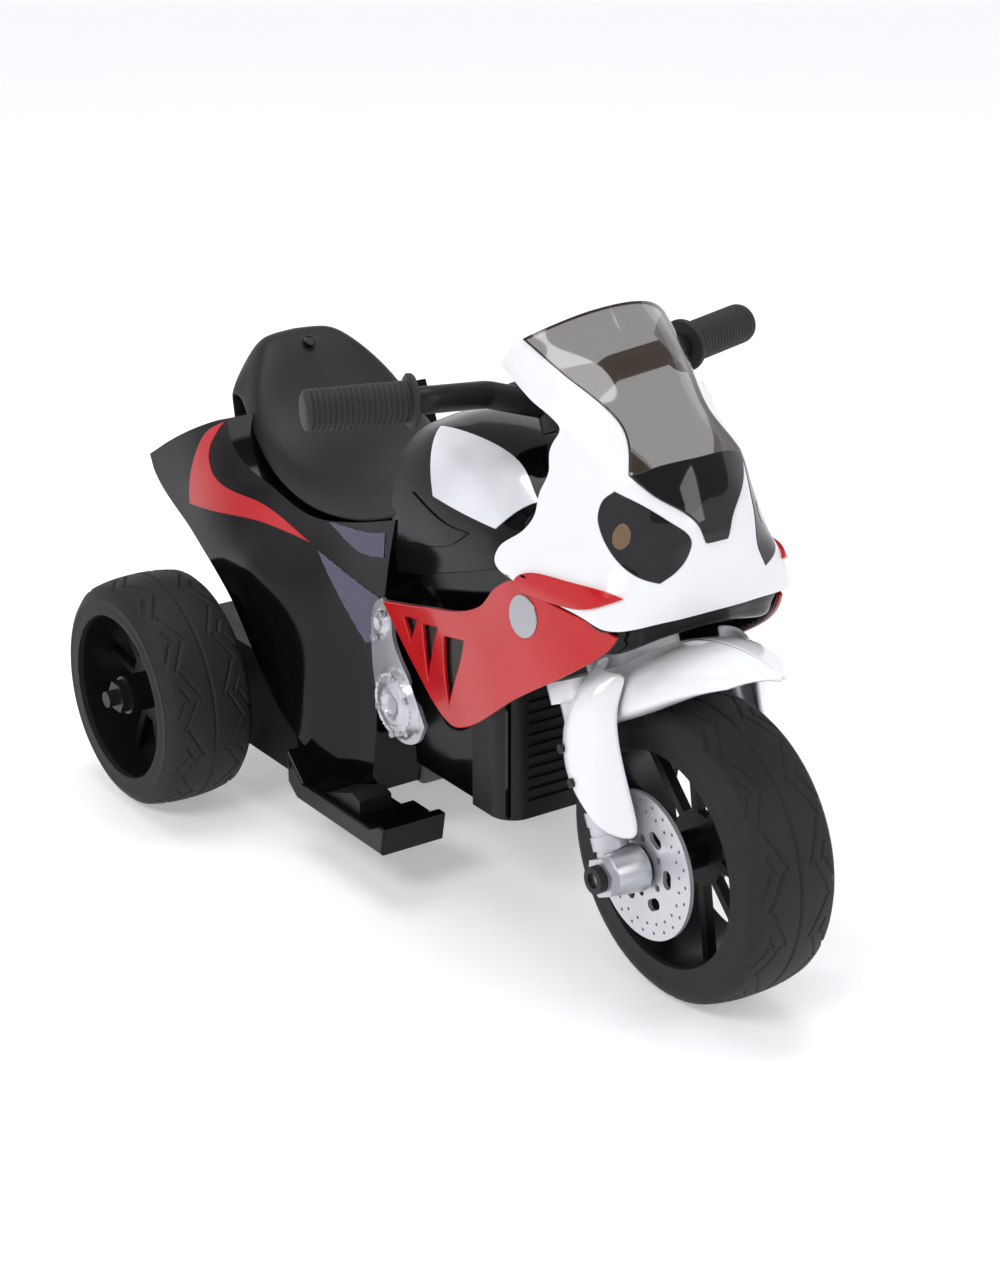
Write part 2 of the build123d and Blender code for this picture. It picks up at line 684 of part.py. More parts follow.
# The gearbox is a box with an open right side; its pin carries the double gear.
case_wall = 2
case_left_y = drive_gear_y + 3
case_right_y = double_gear_y - gear_width - 3
case_back = rear_axle_x - 30
case_front = pinion_x + 12
case_half_height = 29
with BuildPart() as gearbox_case:
    with BuildSketch(side(case_left_y)):
        with Locations(((case_back + case_front) / 2, gear_z)):
            Rectangle(case_front - case_back, 2 * case_half_height)
    extrude(amount=case_left_y - case_right_y)
    with BuildSketch(side(case_left_y - case_wall)):
        with Locations(((case_back + case_front) / 2, gear_z)):
            Rectangle(case_front - case_back - 2 * case_wall, 2 * (case_half_height - case_wall))
    extrude(amount=case_left_y - case_right_y - 2 * case_wall, mode=Mode.SUBTRACT)
    with BuildSketch(side(case_left_y)):
        with Locations((double_gear_x, gear_z)):
            Circle(gear_pin_r)
    extrude(amount=case_left_y - case_right_y)
    with BuildSketch(side(case_left_y + 1)):
        with Locations((rear_axle_x, gear_z)):
            Circle(hub_sleeve_r + clear_gap)
    extrude(amount=case_wall + 2, mode=Mode.SUBTRACT)
    with BuildSketch(side(case_right_y + case_wall + 1)):
        with Locations((rear_axle_x, gear_z)):
            Circle(rear_axle_r + seat_gap)
        with Locations((pinion_x, gear_z)):
            Circle(motor_shaft_r + 3)
    extrude(amount=case_wall + 2, mode=Mode.SUBTRACT)
keep("gearbox_case", gearbox_case)

motor_r, motor_length = 14, 38
with BuildPart() as motor:
    with BuildSketch(side(case_right_y - seat_gap)):
        with Locations((pinion_x, gear_z)):
            Circle(motor_r)
    extrude(amount=motor_length)
    fillet(motor.edges().filter_by(GeomType.CIRCLE), radius=1.5)
    with BuildSketch(side(case_right_y + 1)):
        with Locations((pinion_x, gear_z)):
            Circle(motor_shaft_r + running_gap)
    extrude(amount=motor_length - 10, mode=Mode.SUBTRACT)
keep("motor", motor)

# ---- Battery, control board and speaker inside the body ----
battery_x, battery_w, battery_h = 47, 70, 100
battery_centre = middle(0.353)
battery_base = floor_z + body_wall
with BuildPart() as battery:
    with BuildSketch(Plane.XY.offset(battery_base)):
        with Locations((battery_centre, 0)):
            RectangleRounded(battery_x, battery_w, 3)
    extrude(amount=battery_h)
    with BuildSketch(Plane.XY.offset(battery_base + battery_h)):
        with Locations((battery_centre - 18, -14), (battery_centre - 18, 14)):
            Rectangle(1, 5)
    extrude(amount=6)
keep("battery", battery)

board_t = 1.6
with BuildPart() as control_board:
    with BuildSketch(Plane.XY.offset(battery_base + battery_h)):
        with Locations((battery_centre + 3, 0)):
            Rectangle(38, 46)
    extrude(amount=board_t)
    with BuildSketch(Plane.XY.offset(battery_base + battery_h + board_t)):
        with Locations((battery_centre + 12, 10)):
            Rectangle(15, 12)
        with Locations((battery_centre + 4, -12)):
            Rectangle(10, 10)
    extrude(amount=9)
keep("control_board", control_board)

# ---- Front housing: the black box behind the front wheel, with its ribbed shroud ----
front_half_width = 56
shroud_t = 4
shroud_x = front(-134)
shroud_bottom = 78
front_top = [(body_front_x + panel_gap, 256), (front(-140), 262), (front(-118), 268)]
with BuildPart() as front_housing:
    with BuildSketch(side(front_half_width)):
        outline([(body_front_x + panel_gap, shroud_bottom + 2), (shroud_x - shroud_t, shroud_bottom + 2),
                 (shroud_x - shroud_t, 190), (front(-118), 200)] + front_top[::-1])
    extrude(amount=2 * front_half_width)
    with BuildSketch(side(front_half_width - body_wall)):
        outline([(body_front_x + panel_gap + body_wall, shroud_bottom + 2 + body_wall),
                 (shroud_x - shroud_t - body_wall, shroud_bottom + 2 + body_wall),
                 (shroud_x - shroud_t - body_wall, 190 + body_wall), (front(-118) - body_wall, 202),
                 (front(-118) - body_wall, 262), (body_front_x + body_wall + panel_gap, 253)])
    extrude(amount=2 * (front_half_width - body_wall), mode=Mode.SUBTRACT)
    with BuildSketch(steering.offset(bridge_bottom)):
        Circle(column_r + seat_gap)
    extrude(amount=column_top, mode=Mode.SUBTRACT)
    add(body_block(-panel_gap), mode=Mode.SUBTRACT)

rib_pitch = 8
with BuildPart() as belly_shroud:
    with BuildSketch(Plane.XY.offset(shroud_bottom)):
        with Locations((shroud_x - 30, 0)):
            RectangleRounded(60, 2 * (front_half_width + shroud_t), 18)
    extrude(amount=112)
    with BuildSketch(Plane.XY.offset(shroud_bottom + 2)):
        with Locations((shroud_x - shroud_t - 60, 0)):
            Rectangle(120, 2 * front_half_width)
    extrude(amount=120, mode=Mode.SUBTRACT)
    with BuildSketch(Plane.XY.offset(shroud_bottom - 1)):
        with Locations((shroud_x - 60 - 40, 0)):
            Rectangle(120, 3 * front_half_width)
    extrude(amount=120, mode=Mode.SUBTRACT)
    with BuildSketch(ahead(shroud_x - 1.5)):
        with Locations((0, shroud_bottom + 58)):
            with GridLocations(0, rib_pitch, 1, 12):
                Rectangle(84, 3)
    extrude(amount=5, mode=Mode.SUBTRACT)
keep("belly_shroud", belly_shroud)

speaker_r = 20
with BuildPart() as speaker:
    with BuildSketch(side(front_half_width - body_wall)):
        with Locations((middle(0.55), 150)):
            Circle(speaker_r)
    extrude(amount=5)
    with BuildSketch(side(front_half_width - body_wall - 5)):
        with Locations((middle(0.55), 150)):
            Circle(speaker_r - 2)
    extrude(amount=12, taper=20)
keep("speaker", speaker)

# ---- Footrests, the sprung pedal on the right one, and its switch ----
rest_inner, rest_outer = 62, 112
rest_back, rest_front = middle(0.275), middle(0.555)
rest_bottom, rest_top = 39, 54
with BuildPart() as footrest_left:
    with BuildSketch(side(rest_outer)):
        outline([(rest_back, 48), (rest_back + 12, rest_bottom), (rest_front - 4, rest_bottom),
                 (rest_front, rest_top + 6), (rest_front - 8, rest_top + 6), (rest_front - 20, rest_top),
                 (rest_back + 20, rest_top), (rest_back, 72)])
    extrude(amount=rest_outer - rest_inner)
    fillet(footrest_left.faces().sort_by(Axis.Y)[-1].edges(), radius=2)
    add(body_block(-seat_gap), mode=Mode.SUBTRACT)
with BuildPart() as rest_block:
    mirror(footrest_left.part, about=Plane.XZ)
keep("footrest_left", footrest_left)

pedal_back, pedal_front = rest_back + 42, rest_back + 88
pedal_inner, pedal_outer = 106, 80
pedal_mid = (pedal_inner + pedal_outer) / 2
recess_floor = 44
pivot_r = 2
pivot_x, pivot_z = pedal_back + 4, 49.5
with BuildPart() as footrest_right:
    add(rest_block.part)
    with BuildSketch(Plane.XY.offset(recess_floor)):
        with Locations(((pedal_back + pedal_front) / 2, -pedal_mid)):
            Rectangle(pedal_front - pedal_back + 2, pedal_inner - pedal_outer + 1)
    extrude(amount=20, mode=Mode.SUBTRACT)
    with BuildSketch(side(-pedal_outer + 4)):
        with Locations((pivot_x, pivot_z)):
            Circle(pivot_r + running_gap)
    extrude(amount=pedal_inner - pedal_outer + 8, mode=Mode.SUBTRACT)
keep("footrest_right", footrest_right)

with BuildPart() as accelerator_pedal:
    with BuildSketch(side(-pedal_outer)):
        outline([(pedal_back + 1, 47), (pedal_front, 51), (pedal_front, 64), (pedal_front - 10, 67),
                 (pedal_back + 1, 54)])
    extrude(amount=pedal_inner - pedal_outer)
    with BuildSketch(side(-pedal_outer + 3)):
        with Locations((pivot_x, pivot_z)):
            Circle(pivot_r)
    extrude(amount=pedal_inner - pedal_outer + 6)
keep("accelerator_pedal", accelerator_pedal)


# ---- Tank cover over the front housing, and the pale panel laid on it ----
tank_front = front(-112)
tank_half_width = 58


def tank_block(inset):
    """The outer form of the tank, shrunk by inset on every side."""
    with BuildPart() as block:
        with BuildSketch(side(2 * tank_half_width)):
            outline([(x, z + panel_gap) for x, z in front_top]
                    + [(tank_front, 300), (tank_front - 3, 320), (front(-170), 332),
                       (body_front_x + 10, 330), (body_front_x + 2 * panel_gap, 306)])
            if inset:
                offset(amount=-inset, kind=Kind.TANGENT)
        extrude(amount=4 * tank_half_width)
        with BuildSketch(ahead(body_front_x - 20)):
            half_plan = [(tank_half_width, 240), (tank_half_width, 292), (34, 334)]
            outline(half_plan + [(-y, z) for y, z in reversed(half_plan)])
            if inset:
                offset(amount=-inset, kind=Kind.TANGENT)
        extrude(amount=length_over_tyres, mode=Mode.INTERSECT)
    return block.part


with BuildPart() as tank_cover:
    add(tank_block(0))
    add(tank_block(body_wall), mode=Mode.SUBTRACT)
    add(body_block(-panel_gap), mode=Mode.SUBTRACT)
    with BuildSketch(steering.offset(column_bottom - 20)):
        Circle(column_r + clear_gap)
    extrude(amount=column_top, mode=Mode.SUBTRACT)
keep("tank_cover", tank_cover)

with BuildPart() as tank_panel:
    add(tank_block(-trim_t))
    add(tank_block(0), mode=Mode.SUBTRACT)
    with BuildSketch(side(2 * tank_half_width)):
        outline([(body_front_x + 24, 334 + trim_t), (body_front_x + 60, 292), (tank_front - 8, 312),
                 (tank_front - 6, 334 + trim_t)])
    extrude(amount=4 * tank_half_width, mode=Mode.INTERSECT)
    with BuildSketch(steering.offset(column_bottom - 20)):
        Circle(clamp_r + 4)
    extrude(amount=2 * column_top, mode=Mode.SUBTRACT)
keep("tank_panel", tank_panel)

# ---- Fairing: one hollow form, parted into shell, windscreen, lenses and chin ----
fairing_wall = 3
# Each level gives: height, nose X, the blunt shoulder's X and Y, the rear edge's X and Y.
fairing_levels = [(243, front(-9), front(-27), 64, front(-73), 74),
                  (252, front(-1), front(-15), 68, front(-85), 81),
                  (268, front(3), front(-11), 70, front(-87), 84),
                  (300, front(6), front(-18), 60, front(-95), 79),
                  (330, front(0), front(-19), 50, front(-85), 71),
                  (352, front(-15), front(-31), 47, front(-80), 66),
                  (376, front(-35), front(-53), 44, front(-81), 62),
                  (400, front(-63), front(-88), 50, front(-118), 62),
                  (418, front(-85), front(-115), 54, front(-135), 60),
                  (438, front(-97), front(-118), 52, front(-135), 58)]


def fairing_block(inset):
    """The fairing's outer form as a solid. A shrunk one runs on past the top, bottom and back."""
    reach = 20 if inset > 0 else 0
    levels = list(fairing_levels)
    if reach:
        lowest = (levels[0][0] - reach, *levels[0][1:])
        highest = (levels[-1][0] + reach, *levels[-1][1:])
        levels = [lowest] + levels + [highest]
    with BuildPart() as block:
        for height, nose, shoulder_x, shoulder_y, back_x, back_y in levels:
            with BuildSketch(Plane.XY.offset(height)):
                half = [(back_x - 2 * reach, back_y - inset),
                        (shoulder_x - inset * 0.7, shoulder_y - inset * 0.7),
                        (nose - inset - 4, shoulder_y * 0.55), (nose - inset, 4)]
                outline(half + [(x, -y) for x, y in reversed(half)])
        loft(ruled=True)
    return block.part


screen_edge = [(55, 417), (34, 376), (43, 352), (15, 325), (9, 306)]
screen_top = (0, 437)
right_light = [(-49, 342), (-22, 322), (-22, 306), (-34, 292), (-48, 290), (-57, 302), (-61, 318), (-58, 334)]
left_light = [(49, 360), (40, 326), (37, 296), (41, 278), (66, 294), (66, 320), (58, 350)]

with BuildPart() as fairing_ring:
    add(fairing_block(0))
    add(fairing_block(fairing_wall), mode=Mode.SUBTRACT)

with BuildPart() as screen_prism:
    with BuildSketch(ahead(front(-150))):
        outline([(screen_edge[0][0], 460)] + screen_edge + [(-y, z) for y, z in reversed(screen_edge)]
                + [(-screen_edge[0][0], 460)])
    extrude(amount=200)

with BuildPart() as light_prisms:
    with BuildSketch(ahead(front(-60))):
        outline(right_light)
        outline(left_light)
    extrude(amount=100)

with BuildPart() as above_chin:
    with BuildSketch(side(2 * body_half_width)):
        outline([(front(-140), 284), (front(-30), 262), (front(20), 252), (front(20), 460),
                 (front(-150), 460), (front(-150), 300)])
    extrude(amount=4 * body_half_width)

# The top of the fairing is cut to the windscreen's arch.
with BuildPart() as arch:
    with BuildSketch(ahead(front(-160))):
        with BuildLine():
            ThreePointArc((-66, 410), screen_top, (66, 410))
            Polyline((66, 410), (100, 410), (100, 200), (-100, 200), (-100, 410), (-66, 410))
        make_face()
    extrude(amount=220)

with BuildPart() as fairing:
    add(fairing_ring.part)
    add(above_chin.part, mode=Mode.INTERSECT)
    add(arch.part, mode=Mode.INTERSECT)
    add(screen_prism.part, mode=Mode.SUBTRACT)
    add(light_prisms.part, mode=Mode.SUBTRACT)
keep("fairing", fairing)

with BuildPart() as windscreen:
    add(fairing_ring.part)
    add(arch.part, mode=Mode.INTERSECT)
    add(screen_prism.part, mode=Mode.INTERSECT)
keep("windscreen", windscreen)

with BuildPart() as headlight_lenses:
    add(fairing_ring.part)
    add(light_prisms.part, mode=Mode.INTERSECT)
keep("headlight_lenses", headlight_lenses)

with BuildPart() as chin_panel:
    add(fairing_ring.part)
    add(above_chin.part, mode=Mode.SUBTRACT)
    with BuildSketch(side(2 * body_half_width)):
        outline([(front(-26), 230), (front(-26), 300), (front(40), 300), (front(40), 230)])
    extrude(amount=4 * body_half_width, mode=Mode.INTERSECT)
keep("chin_panel", chin_panel)

# The red fins follow the fairing's side.
with BuildPart() as winglets:
    add(fairing_block(-2))
    add(fairing_block(0), mode=Mode.SUBTRACT)
    with BuildSketch(side(2 * body_half_width)):
        outline([(front(-90), 274), (front(-76), 284), (front(-16), 288), (front(-12), 282),
                 (front(-30), 270), (front(-84), 269)])
    extrude(amount=4 * body_half_width, mode=Mode.INTERSECT)
keep("winglets", winglets)

# ---- Red side panels, engine covers ----
panel_inner = 80
panel_t = 4
# Each blind air slot gives its start, width, and its highest and lowest level.
air_slots = [(-222, 13, 203, 191), (-194, 16, 203, 165), (-167, 23, 204, 154)]
panel_bosses = [(front(-200), 198), (front(-148), 214)]
with BuildPart() as side_panel:
    with BuildSketch(side(-panel_inner)):
        outline([(front(-255), 204), (front(-200), 218), (front(-130), 242), (front(-112), 262),
                 (front(-92), 270), (front(-6), 254), (front(-14), 240), (front(-34), 226),
                 (front(-86), 193), (front(-156), 146), (front(-172), 143), (front(-214), 170)])
    extrude(amount=panel_t)
    with BuildSketch(side(-front_half_width - seat_gap)):
        with Locations(*panel_bosses):
            Circle(4)
    extrude(amount=panel_inner - front_half_width)
    with BuildSketch(side(-panel_inner - 1)):
        for start, width, high, low in air_slots:
            outline([(front(start), high), (front(start + width), high + width * 0.3),
                     (front(start + width * 0.4), (high + low) / 2 - 4), (front(start) - 1, low)])
    extrude(amount=panel_t, mode=Mode.SUBTRACT)
keep_pair("side_panel", side_panel)

engine_x, engine_z, engine_r = middle(0.48), 136, 28
with BuildPart() as engine_cover:
    with BuildSketch(side(-front_half_width - seat_gap)):
        with Locations((engine_x, engine_z)):
            Circle(engine_r)
        outline([(engine_x - 26, 150), (engine_x - 22, 200), (engine_x - 8, 204), (engine_x + 14, 150)])
    extrude(amount=14)
    with BuildSketch(side(-front_half_width - 14)):
        with Locations((engine_x, engine_z)):
            Circle(engine_r - 6)
    extrude(amount=5)
    add(body_block(-panel_gap), mode=Mode.SUBTRACT)
keep_both("engine_covers", engine_cover)

# ---- Switches and the charging socket, in the left wall of the front housing ----
switch_z = 237
switch_places = {"power_rocker": front(-234), "direction_rocker": front(-204)}
switch_half_x, switch_half_z = 9, 6.5
socket_x, socket_z = front(-168), 246
socket_r, socket_bore_r, socket_flange_r = 5.5, 3, 7.5
with BuildPart() as wall_fittings:
    for place in switch_places.values():
        with BuildSketch(side(front_half_width + seat_gap)):
            with Locations((place, switch_z)):
                Rectangle(2 * switch_half_x, 2 * switch_half_z)
        extrude(amount=14)
    with BuildSketch(side(front_half_width + seat_gap)):
        with Locations((socket_x, socket_z)):
            Circle(socket_r)
    extrude(amount=14)
with BuildPart() as fitted_housing:
    add(front_housing.part)
    add(wall_fittings.part, mode=Mode.SUBTRACT)
keep("front_housing", fitted_housing)

rocker_half_x, rocker_half_z = 6, 4.2
rocker_pivot_r = 1
rocker_pivot_y = front_half_width - 2
with BuildPart() as switch_housings:
    for place in switch_places.values():
        with BuildSketch(side(front_half_width + 1.5)):
            with Locations((place, switch_z)):
                Rectangle(2 * switch_half_x + 3, 2 * switch_half_z + 3)
        extrude(amount=1.5 - seat_gap)
        with BuildSketch(side(front_half_width + 1.5)):
            with Locations((place, switch_z)):
                Rectangle(2 * switch_half_x - 2 * seat_gap, 2 * switch_half_z - 2 * seat_gap)
        extrude(amount=15)
        with BuildSketch(side(front_half_width + 1.5)):
            with Locations((place, switch_z)):
                Rectangle(2 * rocker_half_x + 2, 2 * rocker_half_z + 0.8)
        extrude(amount=9, mode=Mode.SUBTRACT)
        with BuildSketch(Plane.XY.offset(switch_z - switch_half_z + 0.6)):
            with Locations((place, rocker_pivot_y)):
                Circle(rocker_pivot_r + running_gap)
        extrude(amount=2 * switch_half_z - 1.2, mode=Mode.SUBTRACT)
keep("switch_housings", switch_housings)

for name, place in switch_places.items():
    with BuildPart() as rocker:
        with BuildSketch(side(front_half_width + 3.5)):
            with Locations((place, switch_z)):
                Rectangle(2 * rocker_half_x, 2 * rocker_half_z)
        extrude(amount=7)
        with BuildSketch(Plane.XY.offset(switch_z - rocker_half_z - 1.2)):
            with Locations((place, rocker_pivot_y)):
                Circle(rocker_pivot_r)
        extrude(amount=2 * rocker_half_z + 2.4)
    keep(name, rocker)

with BuildPart() as charge_socket:
    with BuildSketch(side(front_half_width + 1.5)):
        with Locations((socket_x, socket_z)):
            Circle(socket_flange_r)
    extrude(amount=1.5 - seat_gap)
    with BuildSketch(side(front_half_width + 1.5)):
        with Locations((socket_x, socket_z)):
            Circle(socket_r - seat_gap)
    extrude(amount=15)
    with BuildSketch(side(front_half_width + 1.5)):
        with Locations((socket_x, socket_z)):
            Circle(socket_bore_r)
    extrude(amount=12, mode=Mode.SUBTRACT)
keep("charge_socket", charge_socket)

# ---- Wiring from the control board back to the motor ----
wire_r = 2
with BuildPart() as wiring_harness:
    with BuildLine():
        wire_base = battery_base + battery_h + board_t + wire_r + 0.2
        wire_path = FilletPolyline((battery_centre + 2, 12, wire_base),
                                   (battery_centre - 45, 22, battery_base + battery_h + 14),
                                   (battery_centre - 82, 34, battery_base + battery_h - 12),
                                   radius=30)
    with BuildSketch(Plane(origin=wire_path @ 0, z_dir=wire_path % 0)):
        Circle(wire_r)
    sweep()
keep("wiring_harness", wiring_harness)

# ---- Screws that close the axle housing from below ----
screw_head_r, screw_head_t = 4, 2
with BuildPart() as housing_screws:
    with BuildSketch(Plane.XY.offset(housing_bottom - screw_head_t)):
        with Locations((rear(-30), 70), (rear(-30), -70), (rear(40), 80), (rear(40), -80)):
            Circle(screw_head_r)
    extrude(amount=screw_head_t)
keep("housing_screws", housing_screws)
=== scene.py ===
import math

import bpy
import bmesh
import numpy as np
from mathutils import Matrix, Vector, geometry


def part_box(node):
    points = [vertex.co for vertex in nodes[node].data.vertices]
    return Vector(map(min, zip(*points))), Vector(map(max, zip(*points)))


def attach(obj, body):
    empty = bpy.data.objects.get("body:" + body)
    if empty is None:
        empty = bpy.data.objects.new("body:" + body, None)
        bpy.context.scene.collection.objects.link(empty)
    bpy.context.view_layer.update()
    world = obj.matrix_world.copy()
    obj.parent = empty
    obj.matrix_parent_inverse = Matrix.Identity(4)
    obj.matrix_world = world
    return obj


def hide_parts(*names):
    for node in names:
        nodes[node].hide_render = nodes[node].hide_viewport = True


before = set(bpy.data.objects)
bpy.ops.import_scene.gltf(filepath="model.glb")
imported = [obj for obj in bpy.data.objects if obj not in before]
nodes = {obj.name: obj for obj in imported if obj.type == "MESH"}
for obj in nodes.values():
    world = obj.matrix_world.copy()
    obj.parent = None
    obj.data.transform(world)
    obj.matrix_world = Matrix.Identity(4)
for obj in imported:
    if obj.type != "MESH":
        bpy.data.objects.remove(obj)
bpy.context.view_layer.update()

# A battery ride-on motorbike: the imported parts, with sculpted shells in place of the plain ones.
# Surfaces, outlines, thicknesses and bevels are given in millimetres, which MM turns into metres.
# The camera's place is in millimetres too; the stage and the lights are in metres.
MM = 0.001


def mm(*values):
    """Millimetres to metres."""
    return tuple(value * MM for value in values)


# ---- Materials: every one is a node tree with uneven colour and roughness, most with a grain ----
PLASTIC_IOR = 1.45
MOTTLE_SCALE = 14
SMUDGE_SCALE = 45
GRAIN_DEPTH = 0.0004


def material(name, colour, rough, *, metal=0.0, coat=0.0, coat_rough=0.05, bump=0.0, grain=900.0,
             mottling=0.06, rough_spread=0.08, spec=0.5):
    """A procedural material: noise varies its colour and roughness, and a fine noise gives its grain."""
    made = bpy.data.materials.new(name)
    made.use_nodes = True
    tree = made.node_tree
    links, new = tree.links, tree.nodes.new
    shader = tree.nodes["Principled BSDF"]
    shader.inputs["Metallic"].default_value = metal
    shader.inputs["Coat Weight"].default_value = coat
    shader.inputs["Coat Roughness"].default_value = coat_rough
    shader.inputs["Specular IOR Level"].default_value = spec
    shader.inputs["IOR"].default_value = PLASTIC_IOR
    where = new("ShaderNodeTexCoord")
    broad = new("ShaderNodeTexNoise")
    broad.inputs["Scale"].default_value = MOTTLE_SCALE
    broad.inputs["Detail"].default_value = 4
    links.new(where.outputs["Object"], broad.inputs["Vector"])
    tint = new("ShaderNodeMix")
    tint.data_type = "RGBA"
    tint.inputs[6].default_value = (*[c * (1 - mottling) for c in colour[:3]], 1)
    tint.inputs[7].default_value = (*[min(1, c * (1 + mottling)) for c in colour[:3]], 1)
    links.new(broad.outputs["Fac"], tint.inputs[0])
    links.new(tint.outputs[2], shader.inputs["Base Color"])
    spread = new("ShaderNodeMapRange")
    spread.inputs["To Min"].default_value = max(0.02, rough - rough_spread)
    spread.inputs["To Max"].default_value = min(1.0, rough + rough_spread)
    smudge = new("ShaderNodeTexNoise")
    smudge.inputs["Scale"].default_value = SMUDGE_SCALE
    smudge.inputs["Detail"].default_value = 6
    links.new(where.outputs["Object"], smudge.inputs["Vector"])
    links.new(smudge.outputs["Fac"], spread.inputs["Value"])
    links.new(spread.outputs["Result"], shader.inputs["Roughness"])
    if bump:
        fine = new("ShaderNodeTexNoise")
        fine.inputs["Scale"].default_value = grain
        fine.inputs["Detail"].default_value = 3
        links.new(where.outputs["Object"], fine.inputs["Vector"])
        raised = new("ShaderNodeBump")
        raised.inputs["Strength"].default_value = bump
        raised.inputs["Distance"].default_value = GRAIN_DEPTH
        links.new(fine.outputs["Fac"], raised.inputs["Height"])
        links.new(raised.outputs["Normal"], shader.inputs["Normal"])
    return made


M = {
    "tyre": material("tyre_rubber", (0.014, 0.014, 0.015), 0.62, spec=0.3, bump=0.35, grain=1400,
                     mottling=0.25),
    "rim": material("rim_black", (0.006, 0.006, 0.007), 0.34, spec=0.3, bump=0.12, grain=900),
    "silver": material("silver_paint", (0.52, 0.53, 0.56), 0.3, metal=0.75, coat=0.3, bump=0.12, grain=2600),
    "disc": material("disc_silver", (0.6, 0.61, 0.63), 0.34, metal=0.7, bump=0.2, grain=1600),
    "steel": material("steel_rod", (0.5, 0.5, 0.5), 0.3, metal=1.0, bump=0.2, grain=2200),
    "white": material("white_gloss", (0.78, 0.79, 0.81), 0.22, coat=0.6, mottling=0.012, rough_spread=0.04),
    "black": material("black_gloss", (0.0022, 0.0022, 0.0026), 0.1, coat=0.08, spec=0.2, mottling=0.2,
                      rough_spread=0.05, bump=0.03, grain=120),
    "satin": material("black_satin", (0.008, 0.008, 0.009), 0.42, spec=0.3, bump=0.2, grain=1500,
                      mottling=0.15),
    "charcoal": material("seat_charcoal", (0.012, 0.012, 0.0125), 0.5, spec=0.35, bump=0.3, grain=1800,
                         mottling=0.1),
    "grip": material("grip_rubber", (0.011, 0.011, 0.012), 0.58, bump=0.4, grain=2400, mottling=0.15),
    "red": material("red_gloss", (0.46, 0.003, 0.006), 0.2, coat=0.3, spec=0.4, mottling=0.05,
                    rough_spread=0.05),
    "grey": material("dark_grey", (0.07, 0.07, 0.075), 0.4, bump=0.2, grain=1500),
    "panel": material("pale_panel", (0.74, 0.75, 0.79), 0.25, metal=0.15, coat=0.4, mottling=0.03),
    "nylon": material("nylon", (0.72, 0.7, 0.64), 0.45, bump=0.15, grain=900),
    "brass": material("brass", (0.72, 0.52, 0.2), 0.3, metal=1.0, bump=0.15, grain=1800),
    "board": material("board_green", (0.015, 0.15, 0.05), 0.35, bump=0.2, grain=1200),
    "button_red": material("button_red", (0.6, 0.02, 0.02), 0.3, bump=0.1, grain=900),
    "button_grey": material("button_grey", (0.3, 0.31, 0.33), 0.35, bump=0.1, grain=900),
    "lens": material("lens_black", (0.004, 0.004, 0.005), 0.06, coat=0.25, coat_rough=0.02, spec=0.4,
                     mottling=0.3, rough_spread=0.03),
    "mesh": material("mesh_grey", (0.1, 0.09, 0.14), 0.4, bump=0.3, grain=700, mottling=0.2),
    "slot": material("slot_black", (0.003, 0.003, 0.003), 0.35, bump=0.1, grain=600),
    "smoke": material("smoke_glass", (0.05, 0.035, 0.025), 0.06, coat=0.6, mottling=0.1, rough_spread=0.02),
    "amber": material("amber_reflector", (0.16, 0.09, 0.04), 0.12, metal=0.4, coat=0.8, mottling=0.5),
    "badge": material("badge_grey", (0.35, 0.36, 0.38), 0.25, metal=0.6, coat=0.5),
}
GLASS_ALPHA = 0.55
M["smoke"].node_tree.nodes["Principled BSDF"].inputs["Alpha"].default_value = GLASS_ALPHA
NODE_LOOKS = {
    "tyre": "front_tyre rear_tyre_right rear_tyre_left",
    "rim": "front_rim rear_rim_right rear_rim_left",
    "silver": "fork_legs engine_covers front_axle_nuts",
    "disc": "brake_discs",
    "steel": "front_axle steering_stem motor housing_screws",
    "satin": "rear_axle front_axle_caps rear_axle_caps handlebar instrument_pod steering_column"
             " axle_housing_upper axle_housing_lower belly_shroud speaker accelerator_pedal"
             " switch_housings charge_socket",
    "grip": "grips",
    "white": "fork_covers fork_bridge mudguard fairing",
    "black": "body_shell_right body_shell_left front_housing footrest_left footrest_right tank_cover",
    "red": "tail_accents side_panel_right side_panel_left winglets",
    "charcoal": "seat",
    "mesh": "mesh_inserts",
    "panel": "tank_panel",
    "grey": "chin_panel gearbox_case battery",
    "lens": "headlight_lenses windscreen",
    "nylon": "stem_bushes drive_gear double_gear",
    "brass": "motor_pinion",
    "board": "control_board",
    "button_red": "horn_button power_rocker wiring_harness",
    "button_grey": "music_button direction_rocker",
}
for look, names in NODE_LOOKS.items():
    for name in names.split():
        slots = nodes[name].data.materials
        slots.clear()
        slots.append(M[look])

# ---- Sculpting tools ----
GENTLE_TURN = 0.62          # the least cosine of a turn that a line still curves through


def smooth_loop(points, step):
    """A closed line through 2-D points: it curves through gentle corners and stays sharp at hard ones."""
    count = len(points)
    line = [np.array(p, float) for p in points]
    out = []
    for i in range(count):
        before, start, end, after = line[i - 1], line[i], line[(i + 1) % count], line[(i + 2) % count]

        def slope(left, here, right, side):
            a, b = here - left, right - here
            size_a, size_b = np.linalg.norm(a), np.linalg.norm(b)
            if a @ b < GENTLE_TURN * size_a * size_b:
                return b if side == "out" else a
            along = a / size_a + b / size_b
            return along / np.linalg.norm(along) * (size_b if side == "out" else size_a)

        leave, arrive = slope(before, start, end, "out"), slope(start, end, after, "in")
        pieces = max(1, int(round(np.linalg.norm(end - start) / step)))
        for k in range(pieces):
            t = k / pieces
            out.append((2 * t ** 3 - 3 * t ** 2 + 1) * start + (t ** 3 - 2 * t ** 2 + t) * leave
                       + (3 * t ** 2 - 2 * t ** 3) * end + (t ** 3 - t ** 2) * arrive)
    return np.array(out)


